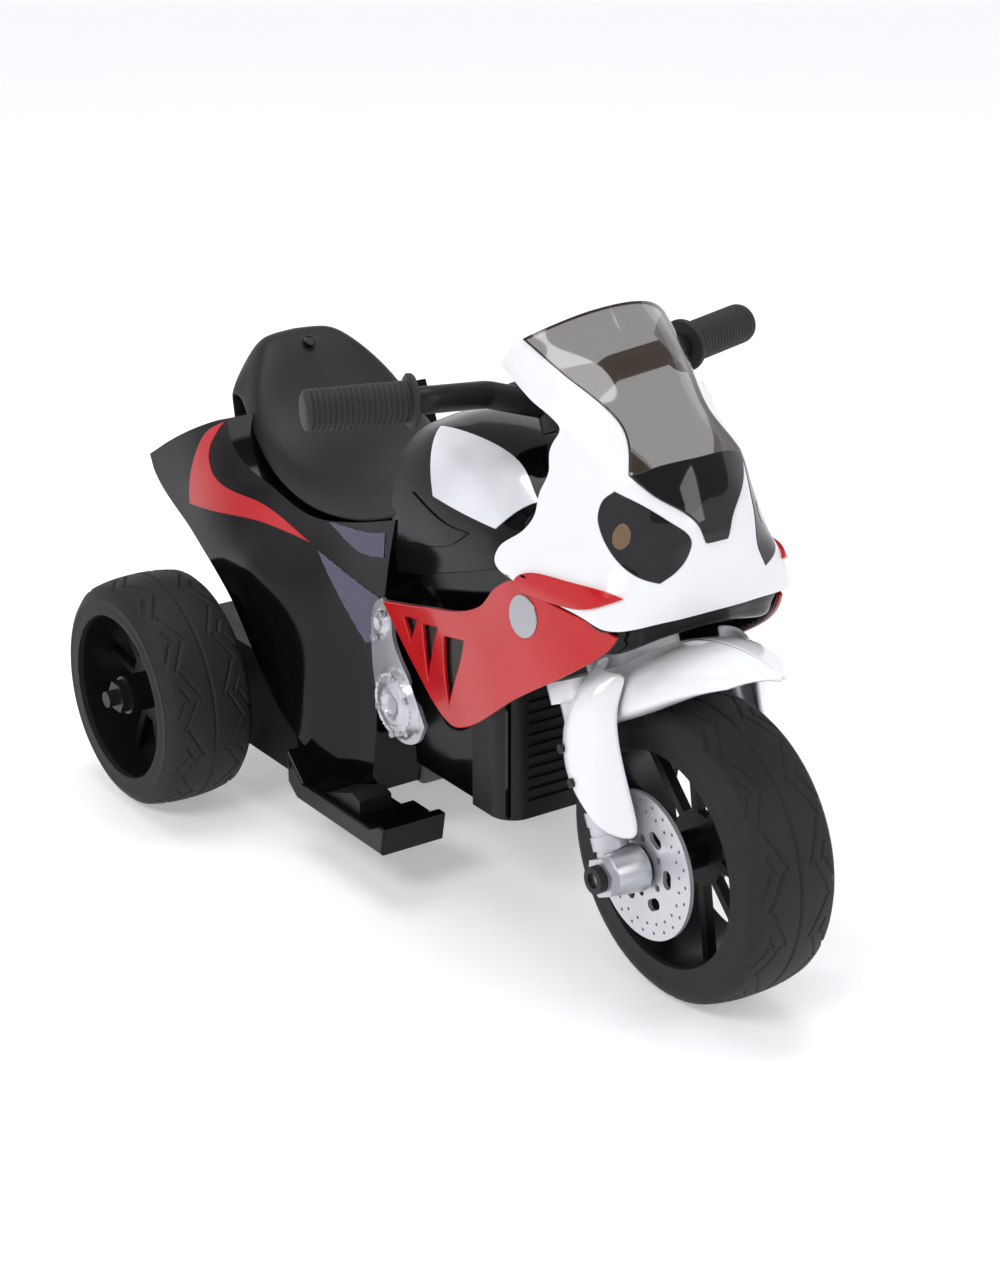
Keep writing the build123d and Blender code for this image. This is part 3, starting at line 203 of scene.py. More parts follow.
def inside(points, loop):
    """Which of the 2-D points lie inside a closed line."""
    x, y = points[:, 0], points[:, 1]
    odd = np.zeros(len(points), bool)
    for (x1, y1), (x2, y2) in zip(loop, np.roll(loop, -1, axis=0)):
        crosses = (y1 > y) != (y2 > y)
        reach = (x2 - x1) * (y - y1) / ((y2 - y1) or 1e-9) + x1
        odd ^= crosses & (x < reach)
    return odd


def gap_to(points, loop):
    """The distance from each 2-D point to a closed line."""
    best = np.full(len(points), 1e9)
    for a, b in zip(loop, np.roll(loop, -1, axis=0)):
        edge = b - a
        t = np.clip(((points - a) @ edge) / max(edge @ edge, 1e-12), 0, 1)
        best = np.minimum(best, np.linalg.norm(points - (a + t[:, None] * edge), axis=1))
    return best


ROW_HEIGHT = 0.87           # of a grid of nearly equal triangles, as a share of its step
EDGE_MARGIN = 0.6           # the least gap from a grid point to an edge, as a share of the step


def fill(outline, holes, step):
    """Triangles that fill a 2-D outline apart from its holes: (points, triangles)."""
    loops = [outline] + list(holes)
    low, high = outline.min(axis=0), outline.max(axis=0)
    columns, rows = (int((high[k] - low[k]) / step) + 2 for k in (0, 1))
    grid = np.array([(low[0] + (i + 0.5 * (j % 2)) * step, low[1] + j * step * ROW_HEIGHT)
                     for j in range(int(rows / ROW_HEIGHT) + 1) for i in range(columns)])
    grid = grid[inside(grid, outline) & (gap_to(grid, outline) > EDGE_MARGIN * step)]
    for hole in holes:
        grid = grid[~inside(grid, hole) & (gap_to(grid, hole) > EDGE_MARGIN * step)]
    points, edges = [], []
    for loop in loops:
        first = len(points)
        points += [Vector(p) for p in loop]
        edges += [(first + k, first + (k + 1) % len(loop)) for k in range(len(loop))]
    points += [Vector(p) for p in grid]
    flat, _, faces, origins, _, _ = geometry.delaunay_2d_cdt(points, edges, [], 1, 1e-7)
    flat = np.array([tuple(p) for p in flat])
    middles = np.array([flat[list(face)].mean(axis=0) for face in faces])
    keep = inside(middles, outline)
    for hole in holes:
        keep &= ~inside(middles, hole)
    return flat, [tuple(face) for face, kept in zip(faces, keep) if kept]


def make_object(name, form, look, body, sharp=38, bevel=0.0, thick=0.0, subdivide=0):
    """Turns a bmesh into a finished piece that rides on a body. bevel and thick are in millimetres."""
    bmesh.ops.recalc_face_normals(form, faces=form.faces)
    mesh = bpy.data.meshes.new(name)
    form.to_mesh(mesh)
    form.free()
    for face in mesh.polygons:
        face.use_smooth = True
    mesh.materials.append(M[look])
    made = bpy.data.objects.new(name, mesh)
    bpy.context.scene.collection.objects.link(made)
    if subdivide:
        surf = made.modifiers.new("surf", "SUBSURF")
        surf.levels = surf.render_levels = subdivide
    else:
        mesh.set_sharp_from_angle(angle=math.radians(sharp))
    if thick:
        solid = made.modifiers.new("solid", "SOLIDIFY")
        solid.thickness, solid.offset, solid.use_even_offset = thick * MM, -1, False
    if bevel:
        soft = made.modifiers.new("soft", "BEVEL")
        soft.width, soft.segments, soft.limit_method = bevel * MM, 3, "ANGLE"
        soft.angle_limit = math.radians(45)
        soft.harden_normals = True
    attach(made, body)
    return made


class Hills:
    """A smooth side surface: y as a thin-plate spline through (x, z, y) points, in millimetres."""

    out = 1                 # its normal already points outward
    nudge = 0.5             # the step that finds its slope, in millimetres

    def __init__(self, points):
        data = np.array(points, float)
        self.spots = data[:, :2]
        size = len(data)
        lines = np.zeros((size + 3, size + 3))
        lines[:size, :size] = self.bend(self.spots)
        lines[:size, size:] = np.c_[np.ones(size), self.spots]
        lines[size:, :size] = np.c_[np.ones(size), self.spots].T
        self.weights = np.linalg.solve(lines, np.r_[data[:, 2], 0, 0, 0])

    def bend(self, spots):
        far = np.linalg.norm(spots[:, None] - self.spots[None], axis=2)
        return np.where(far > 0, far ** 2 * np.log(np.maximum(far, 1e-9)), 0)

    def __call__(self, spots):
        spots = np.atleast_2d(spots)
        y = self.bend(spots) @ self.weights[:-3] + np.c_[np.ones(len(spots)), spots] @ self.weights[-3:]
        return np.c_[spots[:, 0], y, spots[:, 1]]


class Net:
    """A smooth surface through rows of (x, |y|, z) points, mirrored to both sides."""

    out = -1                # its normal points inward
    nudge = 0.02            # the step that finds its slope, in rows and columns

    def __init__(self, rows):
        half = np.array(rows, float)
        left = half[:, ::-1][:, 1:]
        self.rows = np.concatenate([half * (1, -1, 1), left], axis=1)
        fine = [(u, v) for v in np.linspace(0, self.rows.shape[0] - 1, 90)
                for u in np.linspace(0, self.rows.shape[1] - 1, 120)]
        self.fine = np.array(fine)
        self.fine_at = self(self.fine)

    @staticmethod
    def parts(t, count):
        base = np.clip(t.astype(int), 0, count - 2)
        t = t - base
        weights = np.stack([-0.5 * t + t ** 2 - 0.5 * t ** 3, 1 - 2.5 * t ** 2 + 1.5 * t ** 3,
                            0.5 * t + 2 * t ** 2 - 1.5 * t ** 3, -0.5 * t ** 2 + 0.5 * t ** 3])
        return base, weights

    def __call__(self, spots):
        spots = np.atleast_2d(spots)
        height, width = self.rows.shape[:2]
        padded = np.concatenate([2 * self.rows[:1] - self.rows[1:2], self.rows,
                                 2 * self.rows[-1:] - self.rows[-2:-1]])
        padded = np.concatenate([2 * padded[:, :1] - padded[:, 1:2], padded,
                                 2 * padded[:, -1:] - padded[:, -2:-1]], axis=1)
        column, across = self.parts(spots[:, 0], width)
        row, down = self.parts(spots[:, 1], height)
        total = np.zeros((len(spots), 3))
        for i in range(4):
            for j in range(4):
                total += (down[i] * across[j])[:, None] * padded[row + i, column + j]
        return total

    def find(self, point):
        """The place on the net nearest a point, narrowed down in three rounds."""
        best = self.fine[np.argmin(np.linalg.norm(self.fine_at - np.array(point, float), axis=1))]
        reach = 0.1
        top = np.array(self.rows.shape[1::-1]) - 1.0
        for _ in range(3):
            shift = np.linspace(-reach, reach, 9)
            near = np.clip([best + (u, v) for u in shift for v in shift], 0, top)
            best = near[np.argmin(np.linalg.norm(self(near) - np.array(point, float), axis=1))]
            reach /= 4
        return best


def lifted(surface, spots, lift):
    """Points on a surface, moved out along its normal by lift millimetres."""
    nudge = surface.nudge
    spots = np.atleast_2d(spots)
    at = surface(spots)
    if not np.any(lift):
        return at
    along = surface(spots + (nudge, 0)) - surface(spots - (nudge, 0))
    up = surface(spots + (0, nudge)) - surface(spots - (0, nudge))
    normal = np.cross(along, up)
    normal /= np.maximum(np.linalg.norm(normal, axis=1), 1e-9)[:, None]
    return at + surface.out * normal * np.reshape(lift, (-1, 1))


def skin(name, surface, outline, look, body, step=4.0, holes=(), lift=0.0, thick=2.5, wall=None,
         mirror=False, bevel=0.6, relief=None):
    """A panel cut from a surface. wall carries its edge straight in to that y; relief adds detail to lift.

    step is in the surface's own units: millimetres on Hills, rows and columns on Net.
    """
    flat, faces = fill(outline, holes, step)
    height = lift + (relief(flat) if relief else 0)
    spots = lifted(surface, flat, height)
    if mirror:
        spots = spots * (1, -1, 1)
    form = bmesh.new()
    verts = [form.verts.new(mm(*p)) for p in spots]
    for face in faces:
        form.faces.new([verts[k] for k in face])
    if wall is not None:
        rim = [edge for edge in form.edges if edge.is_boundary]
        new = bmesh.ops.extrude_edge_only(form, edges=rim)["geom"]
        for vert in new:
            if isinstance(vert, bmesh.types.BMVert):
                vert.co.y = -wall * MM if mirror else wall * MM
    return make_object(name, form, look, body, thick=thick, bevel=bevel)


def cage(name, rows, look, body, thick=0.0, mirrored=True):
    """A smooth form over rows of (x, |y|, z) points in millimetres, mirrored to both sides if asked."""
    rows = np.array(rows, float)
    if mirrored:
        rows = np.concatenate([rows * (1, -1, 1), rows[:, ::-1][:, 1:]], axis=1)
    form = bmesh.new()
    grid = [[form.verts.new(mm(*p)) for p in row] for row in rows]
    for a, b in zip(grid, grid[1:]):
        for j in range(len(a) - 1):
            form.faces.new((a[j], a[j + 1], b[j + 1], b[j]))
    return make_object(name, form, look, body, subdivide=3, thick=thick)


def turned(name, profile, hub, look, body, turns=64, flip=1, tilt=None):
    """A solid of revolution: (along, radius) points in millimetres, about an axis through hub.

    The axis is Y, turned round by flip=-1, or the direction given by tilt.
    """
    form = bmesh.new()
    rings = []
    for k in range(turns):
        a = 2 * math.pi * k / turns
        rings.append([form.verts.new(Vector((r * math.sin(a), flip * along, r * math.cos(a))) * MM)
                      for along, r in profile])
    for first, second in zip(rings, rings[1:] + rings[:1]):
        for j in range(len(profile) - 1):
            form.faces.new((first[j], first[j + 1], second[j + 1], second[j]))
    bmesh.ops.remove_doubles(form, verts=form.verts, dist=1e-6)
    turn = Vector((0, 1, 0)).rotation_difference(Vector(tilt)) if tilt else None
    for vert in form.verts:
        vert.co = (turn @ vert.co if turn else vert.co) + Vector(mm(*hub))
    return make_object(name, form, look, body, sharp=32)


def rectangle(net, step):
    """The whole of a net, as an outline."""
    high, wide = net.rows.shape[0] - 1, net.rows.shape[1] - 1
    return smooth_loop([(0, 0), (wide, 0), (wide, high), (0, high)], step)


# ---- Fairing, windscreen and headlights ----
FRONT = Net([
    [(82, 62, 398), (90, 60, 408), (99, 55, 417), (118, 28, 432), (125, 0, 437)],
    [(116, 62, 384), (121, 58, 390), (130, 47, 402), (147, 24, 412), (152, 0, 414)],
    [(146, 60, 371), (158, 50, 372), (172, 34, 377), (181, 17, 381), (184, 0, 382)],
    [(115, 72, 347), (170, 58, 349), (195, 43, 352), (206, 22, 354), (209, 0, 355)],
    [(105, 78, 322), (168, 66, 323), (200, 52, 325), (222, 28, 326), (226, 0, 325)],
    [(95, 82, 298), (165, 72, 298), (205, 60, 300), (226, 32, 302), (229, 0, 302)],
    [(95, 88, 277), (175, 80, 277), (213, 68, 280), (227, 35, 283), (229, 0, 284)],
    [(95, 89, 266), (185, 78, 266), (217, 71, 262), (224, 35, 262), (225, 0, 262)],
])
NET_STEP = 0.1
COARSE_STEP = 0.12


def on_front(points, step=NET_STEP):
    """A closed outline on the front net, smoothed, through the places nearest the points."""
    return smooth_loop([FRONT.find(p) for p in points], step)


def mirrored(points):
    return [(x, -y, z) for x, y, z in points]


SCREEN_SIDE = [(99, -55, 417), (128, -46, 401), (172, -33, 377), (195, -43, 352), (207, -34, 341),
               (226, -14, 325), (228, -8, 311)]
WHITE_REAR = [(84, -62, 398), (116, -62, 384), (133, -61, 378), (146, -60, 371), (143, -66, 347),
              (139, -70, 329), (138, -76, 315), (130, -79, 304), (112, -82, 288), (115, -86, 277),
              (137, -84, 272), (185, -78, 267), (217, -71, 263), (224, -35, 263), (225, 0, 263)]
RIGHT_LIGHT = [(191, -50, 342), (209, -45, 338), (226, -35, 331), (233, -20, 317), (236, -22, 307),
               (234, -32, 297), (224, -40, 290), (215, -48, 292), (203, -55, 301), (189, -60, 319),
               (186, -60, 327), (187, -56, 337)]
LEFT_LIGHT = [(198, 50, 356), (208, 46, 342), (220, 40, 325), (225, 36, 301), (222, 42, 284), (205, 66, 298),
              (198, 62, 318), (190, 58, 340), (188, 54, 352)]
screen_sides = SCREEN_SIDE + mirrored(SCREEN_SIDE)[::-1]
white_loop = WHITE_REAR + mirrored(WHITE_REAR[:-1])[::-1]
white_loop += [(90, 60, 408)] + screen_sides[::-1] + [(90, -60, 408)]
fairing_shell = skin("fairing_shell", FRONT, on_front(white_loop), "white", "frame", step=NET_STEP,
                     holes=[on_front(RIGHT_LIGHT), on_front(LEFT_LIGHT)], thick=2.6)
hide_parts("fairing")

screen_loop = screen_sides + [(118, 28, 432), (125, 0, 437), (118, -28, 432)]
EDGE_SCALE = np.array((0.985, 0.955, 0.988))
EDGE_SHIFT = np.array((2.6, 0, 4.2))
edge_inside = [tuple(np.array(point) * EDGE_SCALE + EDGE_SHIFT) for point in screen_loop]
skin("windscreen_edge", FRONT, on_front(screen_loop), "black", "frame", step=NET_STEP,
     holes=[on_front(edge_inside)], lift=1.0, thick=2.4)
glass = skin("windscreen_glass", FRONT, on_front(screen_loop), "smoke", "frame", step=NET_STEP, lift=1.2,
             thick=1.6)
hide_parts("windscreen")
SHADE_TOP = [(196, -42, 352), (203, -25, 357), (206, 0, 358), (203, 25, 357), (196, 42, 352)]
shade_loop = [(207, -34, 341), (226, -14, 325), (228, -8, 311), (228, 8, 311), (226, 14, 325), (207, 34, 341)]
skin("windscreen_shade", FRONT, on_front(SHADE_TOP[::-1] + shade_loop), "lens", "frame", step=NET_STEP,
     lift=1.7, thick=1.2)
for name, loop in (("headlight_right", RIGHT_LIGHT), ("headlight_left", LEFT_LIGHT)):
    lens = skin(name, FRONT, on_front(loop), "lens", "frame", step=NET_STEP, lift=0.3, thick=2.0)
    if name == "headlight_right":
        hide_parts("headlight_lenses")

# ---- Body shells, tail accents and mesh inserts ----
BODY = Hills([(-328, 231, -97), (-290, 254, -95), (-243, 279, -88), (-201, 297, -80), (-265, 189, -98),
              (-208, 152, -98), (-153, 100, -99.5), (-112, 72, -97), (-126, 108, -98.5), (-226, 240, -93),
              (-190, 236, -76),
              (-150, 232, -73), (-86, 246, -69), (-31, 262, -67), (-180, 190, -97), (-130, 140, -95),
              (-100, 190, -80), (-60, 150, -76), (-45, 200, -72), (-75, 60, -82), (-50, 100, -76),
              (-140, 200, -86)])
BODY_EDGE = [(-328, 231), (-320, 219), (-265, 189), (-208, 152), (-153, 100), (-112, 72), (-92, 52),
             (-56, 50), (-48, 110), (-52, 160), (-42, 200), (-38, 232), (-33, 260), (-86, 243), (-129, 234),
             (-159, 235), (-195, 245), (-219, 264), (-229, 283), (-240, 279), (-290, 254)]
ACCENT = [(-230, 281), (-250, 268), (-260, 249), (-266, 226), (-266, 210), (-203, 216), (-157, 217),
          (-128, 217), (-160, 223), (-196, 229), (-224, 235), (-239, 245), (-243, 258), (-237, 272)]
MESH_TOP = [(-112, 236), (-60, 243), (-44, 248), (-44, 230), (-72, 226)]
MESH_LOW = [(-118, 214), (-80, 206), (-46, 200), (-46, 168), (-60, 164)]


def mesh_ribs(spots):
    """Fine slanting ribs over a mesh insert."""
    return 0.35 * np.sin((spots @ (0.5, 1)) * 2.4)


for left in (False, True):
    hand = "left" if left else "right"
    shell = skin("body_skin_" + hand, BODY, smooth_loop(BODY_EDGE, 4), "black", "frame", wall=-0.5,
                 mirror=left, bevel=2.2, thick=2.4)
    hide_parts("body_shell_" + hand)
    accent = skin("accent_" + hand, BODY, smooth_loop(ACCENT, 4), "red", "frame", lift=0.5, thick=1.4,
                  mirror=left, bevel=0.4)
    if not left:
        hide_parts("tail_accents")
    for k, loop in enumerate((MESH_TOP, MESH_LOW)):
        mesh = skin(f"mesh_{hand}_{k}", BODY, smooth_loop(loop, 3), "mesh", "frame", step=0.8, lift=0.7,
                    thick=1.2, mirror=left, bevel=0.3, relief=mesh_ribs)
        if not (left or k):
            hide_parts("mesh_inserts")

# ---- Seat: a dished saddle that rises into a rounded back ----
SEAT = [
    [(-32, 0, 303), (-32, 20, 302), (-32, 42, 297), (-32, 60, 284), (-32, 67, 264), (-32, 65, 258)],
    [(-60, 0, 283), (-60, 24, 282), (-60, 46, 277), (-60, 64, 266), (-60, 69, 253), (-60, 68, 246)],
    [(-95, 0, 270), (-95, 26, 269), (-95, 49, 266), (-95, 66, 257), (-95, 71, 244), (-95, 70, 238)],
    [(-140, 0, 263), (-140, 26, 263), (-140, 50, 261), (-140, 66, 253), (-140, 71, 238), (-140, 70, 232)],
    [(-185, 0, 268), (-185, 26, 268), (-185, 48, 266), (-185, 66, 260), (-186, 71, 247), (-188, 70, 240)],
    [(-222, 0, 288), (-221, 25, 288), (-219, 45, 286), (-215, 64, 280), (-213, 70, 266), (-214, 69, 256)],
    [(-247, 0, 312), (-246, 22, 312), (-243, 40, 310), (-238, 55, 301), (-237, 64, 284), (-238, 66, 268)],
    [(-266, 0, 327), (-265, 20, 327), (-262, 32, 325), (-256, 46, 311), (-254, 57, 292), (-252, 64, 278)],
    [(-282, 0, 325), (-281, 20, 324), (-278, 31, 322), (-270, 45, 308), (-266, 57, 292), (-262, 62, 282)],
    [(-290, 0, 308), (-289, 20, 307), (-287, 34, 304), (-280, 48, 296), (-273, 57, 288), (-266, 61, 280)],
    [(-286, 0, 278), (-285, 20, 278), (-282, 36, 276), (-277, 48, 274), (-272, 55, 272), (-264, 60, 268)],
    [(-279, 0, 250), (-279, 20, 250), (-277, 36, 250), (-274, 48, 250), (-270, 55, 250), (-263, 60, 252)],
]
seat_form = cage("seat_saddle", SEAT, "charcoal", "frame")
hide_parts("seat")

# ---- Red side panels with three louvres, a rounded boss and the black behind them ----
PANEL = Hills([(-33, 204, -79), (21, 218, -82), (92, 242, -84), (131, 274, -83), (169, 270, -80),
               (215, 268, -66), (8, 170, -80), (55, 143, -80), (137, 194, -84), (191, 230, -78),
               (211, 250, -68), (60, 185, -86), (100, 215, -88), (150, 245, -85)])
PANEL_EDGE = [(-33, 204), (21, 218), (92, 242), (109, 260), (131, 272), (169, 267), (204, 261), (216, 257),
              (210, 247), (191, 230), (137, 194), (66, 146), (51, 143), (8, 170)]
SLOTS = [[(-4, 203), (14, 206), (5, 188)],
         [(22, 206), (43, 211), (27, 168)],
         [(52, 208), (78, 214), (76, 203), (53, 158)]]
BOSS_AT = (143, 252)
BOSS_R = 14
BOSS = [(BOSS_AT[0] + BOSS_R * math.cos(a), BOSS_AT[1] + BOSS_R * math.sin(a))
        for a in np.linspace(0, 2 * math.pi, 10)[:-1]]
for left in (False, True):
    hand = "left" if left else "right"
    panel = skin("panel_" + hand, PANEL, smooth_loop(PANEL_EDGE, 4), "red", "frame", thick=3.0, mirror=left,
                 holes=[smooth_loop(slot, 3) for slot in SLOTS], bevel=0.9)
    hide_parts("side_panel_" + hand)
    skin("panel_back_" + hand, PANEL, smooth_loop(PANEL_EDGE, 5), "slot", "frame", lift=-3.8, thick=0.8,
         mirror=left, bevel=0.0)
    skin("panel_boss_" + hand, PANEL, smooth_loop(BOSS, 3), "badge", "frame", lift=1.2, thick=2.0,
         mirror=left, bevel=0.8)

# ---- Winglets and chin, on the fairing ----
WINGLET = [(137, -87, 277), (150, -85, 284), (180, -80, 287), (210, -70, 287), (220, -64, 284),
           (194, -78, 272), (141, -88, 268)]
for hand, loop in (("right", WINGLET), ("left", mirrored(WINGLET))):
    fin = skin("winglet_" + hand, FRONT, on_front(loop), "red", "frame", step=NET_STEP, lift=2.6, thick=3.0,
               bevel=1.2)
    if hand == "right":
        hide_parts("winglets")


CHIN = Net([
    [(140, 80, 271), (184, 75, 267), (214, 67, 264), (222, 34, 264), (223, 0, 264)],
    [(140, 79, 258), (180, 73, 253), (210, 63, 252), (219, 31, 256), (221, 0, 258)],
    [(140, 76, 248), (178, 70, 240), (205, 60, 241), (214, 28, 248), (217, 0, 251)],
    [(140, 64, 245), (168, 60, 239), (192, 50, 240), (200, 24, 247), (203, 0, 250)],
])
chin = skin("chin_band", CHIN, rectangle(CHIN, COARSE_STEP), "black", "frame", step=COARSE_STEP, thick=2.5,
             bevel=0.8)
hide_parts("chin_panel")

# ---- Tank: black cover with a pale panel on each side ----
TANK = Net([
    [(-34, 66, 222), (-38, 66, 250), (-42, 64, 275), (-43, 57, 300), (-41, 42, 317), (-40, 22, 323),
     (-40, 0, 325)],
    [(-4, 68, 230), (-8, 68, 256), (-9, 66, 281), (-10, 59, 306), (-10, 45, 324), (-10, 24, 330),
     (-10, 0, 332)],
    [(36, 70, 244), (36, 71, 264), (36, 68, 286), (36, 60, 308), (35, 46, 324), (35, 26, 330),
     (35, 0, 332)],
    [(86, 70, 262), (86, 71, 276), (84, 68, 291), (82, 59, 306), (80, 46, 320), (80, 26, 325),
     (80, 0, 327)],
    [(104, 66, 270), (106, 66, 282), (108, 62, 292), (108, 54, 303), (108, 42, 311), (108, 24, 315),
     (108, 0, 316)],
])
tank = skin("tank_shell", TANK, rectangle(TANK, COARSE_STEP), "black", "frame", step=COARSE_STEP, thick=2.5,
            bevel=1.5)
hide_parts("tank_cover")
SILVER = [(-18, -40, 327), (12, -66, 290), (88, -67, 290), (106, -46, 309), (60, -36, 326)]
EMBOSS = [(-26, -66, 262), (-14, -66, 250), (38, -71, 264), (62, -70, 280), (34, -69, 278), (-14, -66, 286)]
for hand, flip in (("right", list), ("left", mirrored)):
    pale_loop, relief_loop = (smooth_loop([TANK.find(p) for p in flip(points)], COARSE_STEP)
                              for points in (SILVER, EMBOSS))
    pale = skin("tank_pale_" + hand, TANK, pale_loop, "panel", "frame", step=COARSE_STEP, lift=0.8,
                thick=1.6, bevel=0.5)
    skin("tank_relief_" + hand, TANK, relief_loop, "black", "frame", step=COARSE_STEP, lift=1.4, thick=2.2,
         bevel=0.8)
    if hand == "right":
        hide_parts("tank_panel")

# ---- Mudguard and fork covers ----
MUDGUARD = [
    [(146, 0, 196), (147, 24, 195), (150, 42, 188), (153, 50, 172), (151, 53, 158)],
    [(172, 0, 222), (173, 24, 220), (176, 43, 211), (178, 52, 192), (176, 55, 172)],
    [(205, 0, 239), (205, 24, 237), (206, 44, 227), (206, 53, 207), (205, 55, 187)],
    [(238, 0, 248), (237, 22, 245), (236, 41, 236), (235, 49, 222), (234, 50, 208)],
    [(272, 0, 249), (269, 13, 246), (264, 27, 240), (259, 36, 232), (256, 40, 223)],
    [(303, 0, 244), (294, 5, 243), (284, 13, 240), (276, 22, 236), (269, 31, 230)],
]
guard = cage("mudguard_dome", MUDGUARD, "white", "steering", thick=2.6)
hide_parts("mudguard")
COVER = [
    [(178, 42, 228), (177, 49, 227), (180, 55, 226), (188, 57, 225), (196, 54, 224), (203, 46, 224)],
    [(176, 50, 214), (174, 60, 212), (178, 71, 210), (188, 75, 208), (198, 72, 207), (204, 57, 207)],
    [(160, 50, 190), (160, 60, 188), (164, 71, 186), (178, 76, 183), (194, 74, 181), (207, 57, 181)],
    [(158, 50, 165), (158, 60, 163), (164, 71, 161), (180, 76, 158), (200, 75, 154), (219, 57, 154)],
    [(166, 50, 150), (166, 60, 148), (172, 71, 146), (188, 76, 142), (210, 75, 136), (228, 57, 136)],
    [(180, 50, 144), (180, 60, 142), (186, 71, 139), (202, 76, 134), (218, 73, 126), (231, 57, 122)],
]
for hand, sign in (("right", -1), ("left", 1)):
    rows = [[(x, sign * y, z) for x, y, z in row] for row in COVER]
    cover = cage("fork_cover_" + hand, rows, "white", "steering", thick=2.2, mirrored=False)
    if hand == "right":
        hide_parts("fork_covers")

# ---- Tyres: a tread with a centre line, zigzag grooves and a stepped sidewall ----
TREAD_TURNS = 600
TREAD_REPEATS = 12
GROOVE_HALF = 1.1
GROOVE_DEPTH = 1.2


def tyre(name, node, hub, outer, half, bore, body):
    """A moulded tyre about the Y axis through hub, in millimetres."""
    crown = [(-half, bore), (-half, bore + 5), (-half + 0.4, bore + 6), (-half - 0.6, bore + 12),
             (-half + 0.2, outer - 12), (-half + 2.4, outer - 7), (-half + 6, outer - 3.4)]
    across = [(y, outer - 3.2 * (abs(y) / (half - 6)) ** 2.4) for y in np.linspace(-half + 7, half - 7, 75)]
    line = np.array(crown + across + [(-y, r) for y, r in reversed(crown)])
    line[:, 0] = np.clip(line[:, 0], -half, half)
    form = bmesh.new()
    rings = []
    for k in range(TREAD_TURNS):
        angle = 2 * math.pi * k / TREAD_TURNS
        ring = []
        for y, r in line:
            depth = 0.0
            if r > outer - 5:
                sweep = (angle * TREAD_REPEATS / (2 * math.pi)) % 1
                wave = 9 + 12 * abs(2 * sweep - 1) + (3 if sweep > 0.5 else 0)
                near = min(abs(y), abs(abs(y) - wave), abs(abs(y) - wave - 9) + (2 if sweep < 0.3 else 0))
                depth = GROOVE_DEPTH * max(0.0, 1 - (near / GROOVE_HALF) ** 2) ** 0.5
            ring.append(form.verts.new(mm(hub[0] + (r - depth) * math.sin(angle), hub[1] + y,
                                          hub[2] + (r - depth) * math.cos(angle))))
        rings.append(ring)
    for first, second in zip(rings, rings[1:] + rings[:1]):
        for j in range(len(line) - 1):
            form.faces.new((first[j], first[j + 1], second[j + 1], second[j]))
        form.faces.new((first[-1], first[0], second[0], second[-1]))
    made = make_object(name, form, "tyre", body, sharp=60)
    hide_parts(node)


def tyre_from(node, name, body, bore):
    """Places a moulded tyre exactly where its CAD node is."""
    low, high = [np.array(corner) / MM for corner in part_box(node)]
    hub, outer, half = (low + high) / 2, (high - low)[0] / 2, (high - low)[1] / 2
    tyre(name, node, hub, outer, half, bore, body)


FRONT_BORE, REAR_BORE = 72.2, 61.2
tyre_from("front_tyre", "tread_front", "front_wheel", FRONT_BORE)
tyre_from("rear_tyre_right", "tread_rear_right", "rear_wheel_right", REAR_BORE)
tyre_from("rear_tyre_left", "tread_rear_left", "rear_wheel_left", REAR_BORE)

# ---- Engine covers, in front of the dark body ----
FLANK = Hills([(-50, 108, -76), (-50, 200, -74), (20, 108, -76), (20, 200, -76), (-15, 150, -77)])
ENGINE = [(-50, 160), (-48, 196), (-38, 204), (-27, 196), (-22, 178), (2, 152), (17, 128), (6, 112),
          (-18, 107), (-38, 122)]
COVER_HUB = (-16, 134)
ARM_HUB = (-38, 186)
RIM_BOLTS = [(-33, 127), (-16, 112), (3, 119), (1, 143), (-14, 154), (-31, 148)]
ARM_BOLTS = [(-43, 174), (-33, 195)]
BOLT_HEAD = [(-2, 0), (-2, 2.6), (1.2, 2.6), (1.6, 2.1), (1.6, 0)]


def engine_relief(spots):
    """A raised round cover with a ring, and a stepped arm above it."""
    away = np.linalg.norm(spots - COVER_HUB, axis=1)
    arm = np.linalg.norm(spots - ARM_HUB, axis=1)
    dome = 5.0 * np.clip((25 - away) / 3, 0, 1) + 1.6 * np.clip((15 - away) / 1.5, 0, 1) \
        - 2.2 * np.clip((9 - away) / 1.5, 0, 1)
    groove = -1.2 * (np.abs(away - 20) < 1.2)
    return dome + groove + 3.0 * np.clip((9 - arm) / 2, 0, 1) - 1.5 * np.clip((4 - arm) / 1, 0, 1)


for left in (False, True):
    hand = "left" if left else "right"
    cover = skin("engine_cover_" + hand, FLANK, smooth_loop(ENGINE, 2.4), "silver", "frame", step=1.8,
                 lift=1.5, thick=3.0, mirror=left, bevel=0.5, relief=engine_relief)
    if not left:
        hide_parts("engine_covers")
    side = 1 if left else -1
    for k, (x, z) in enumerate(RIM_BOLTS + ARM_BOLTS):
        y = side * (83 if k < len(RIM_BOLTS) else 80)
        turned(f"engine_bolt_{hand}_{k}", BOLT_HEAD, (x, y, z), "steel", "frame", turns=6, flip=side)

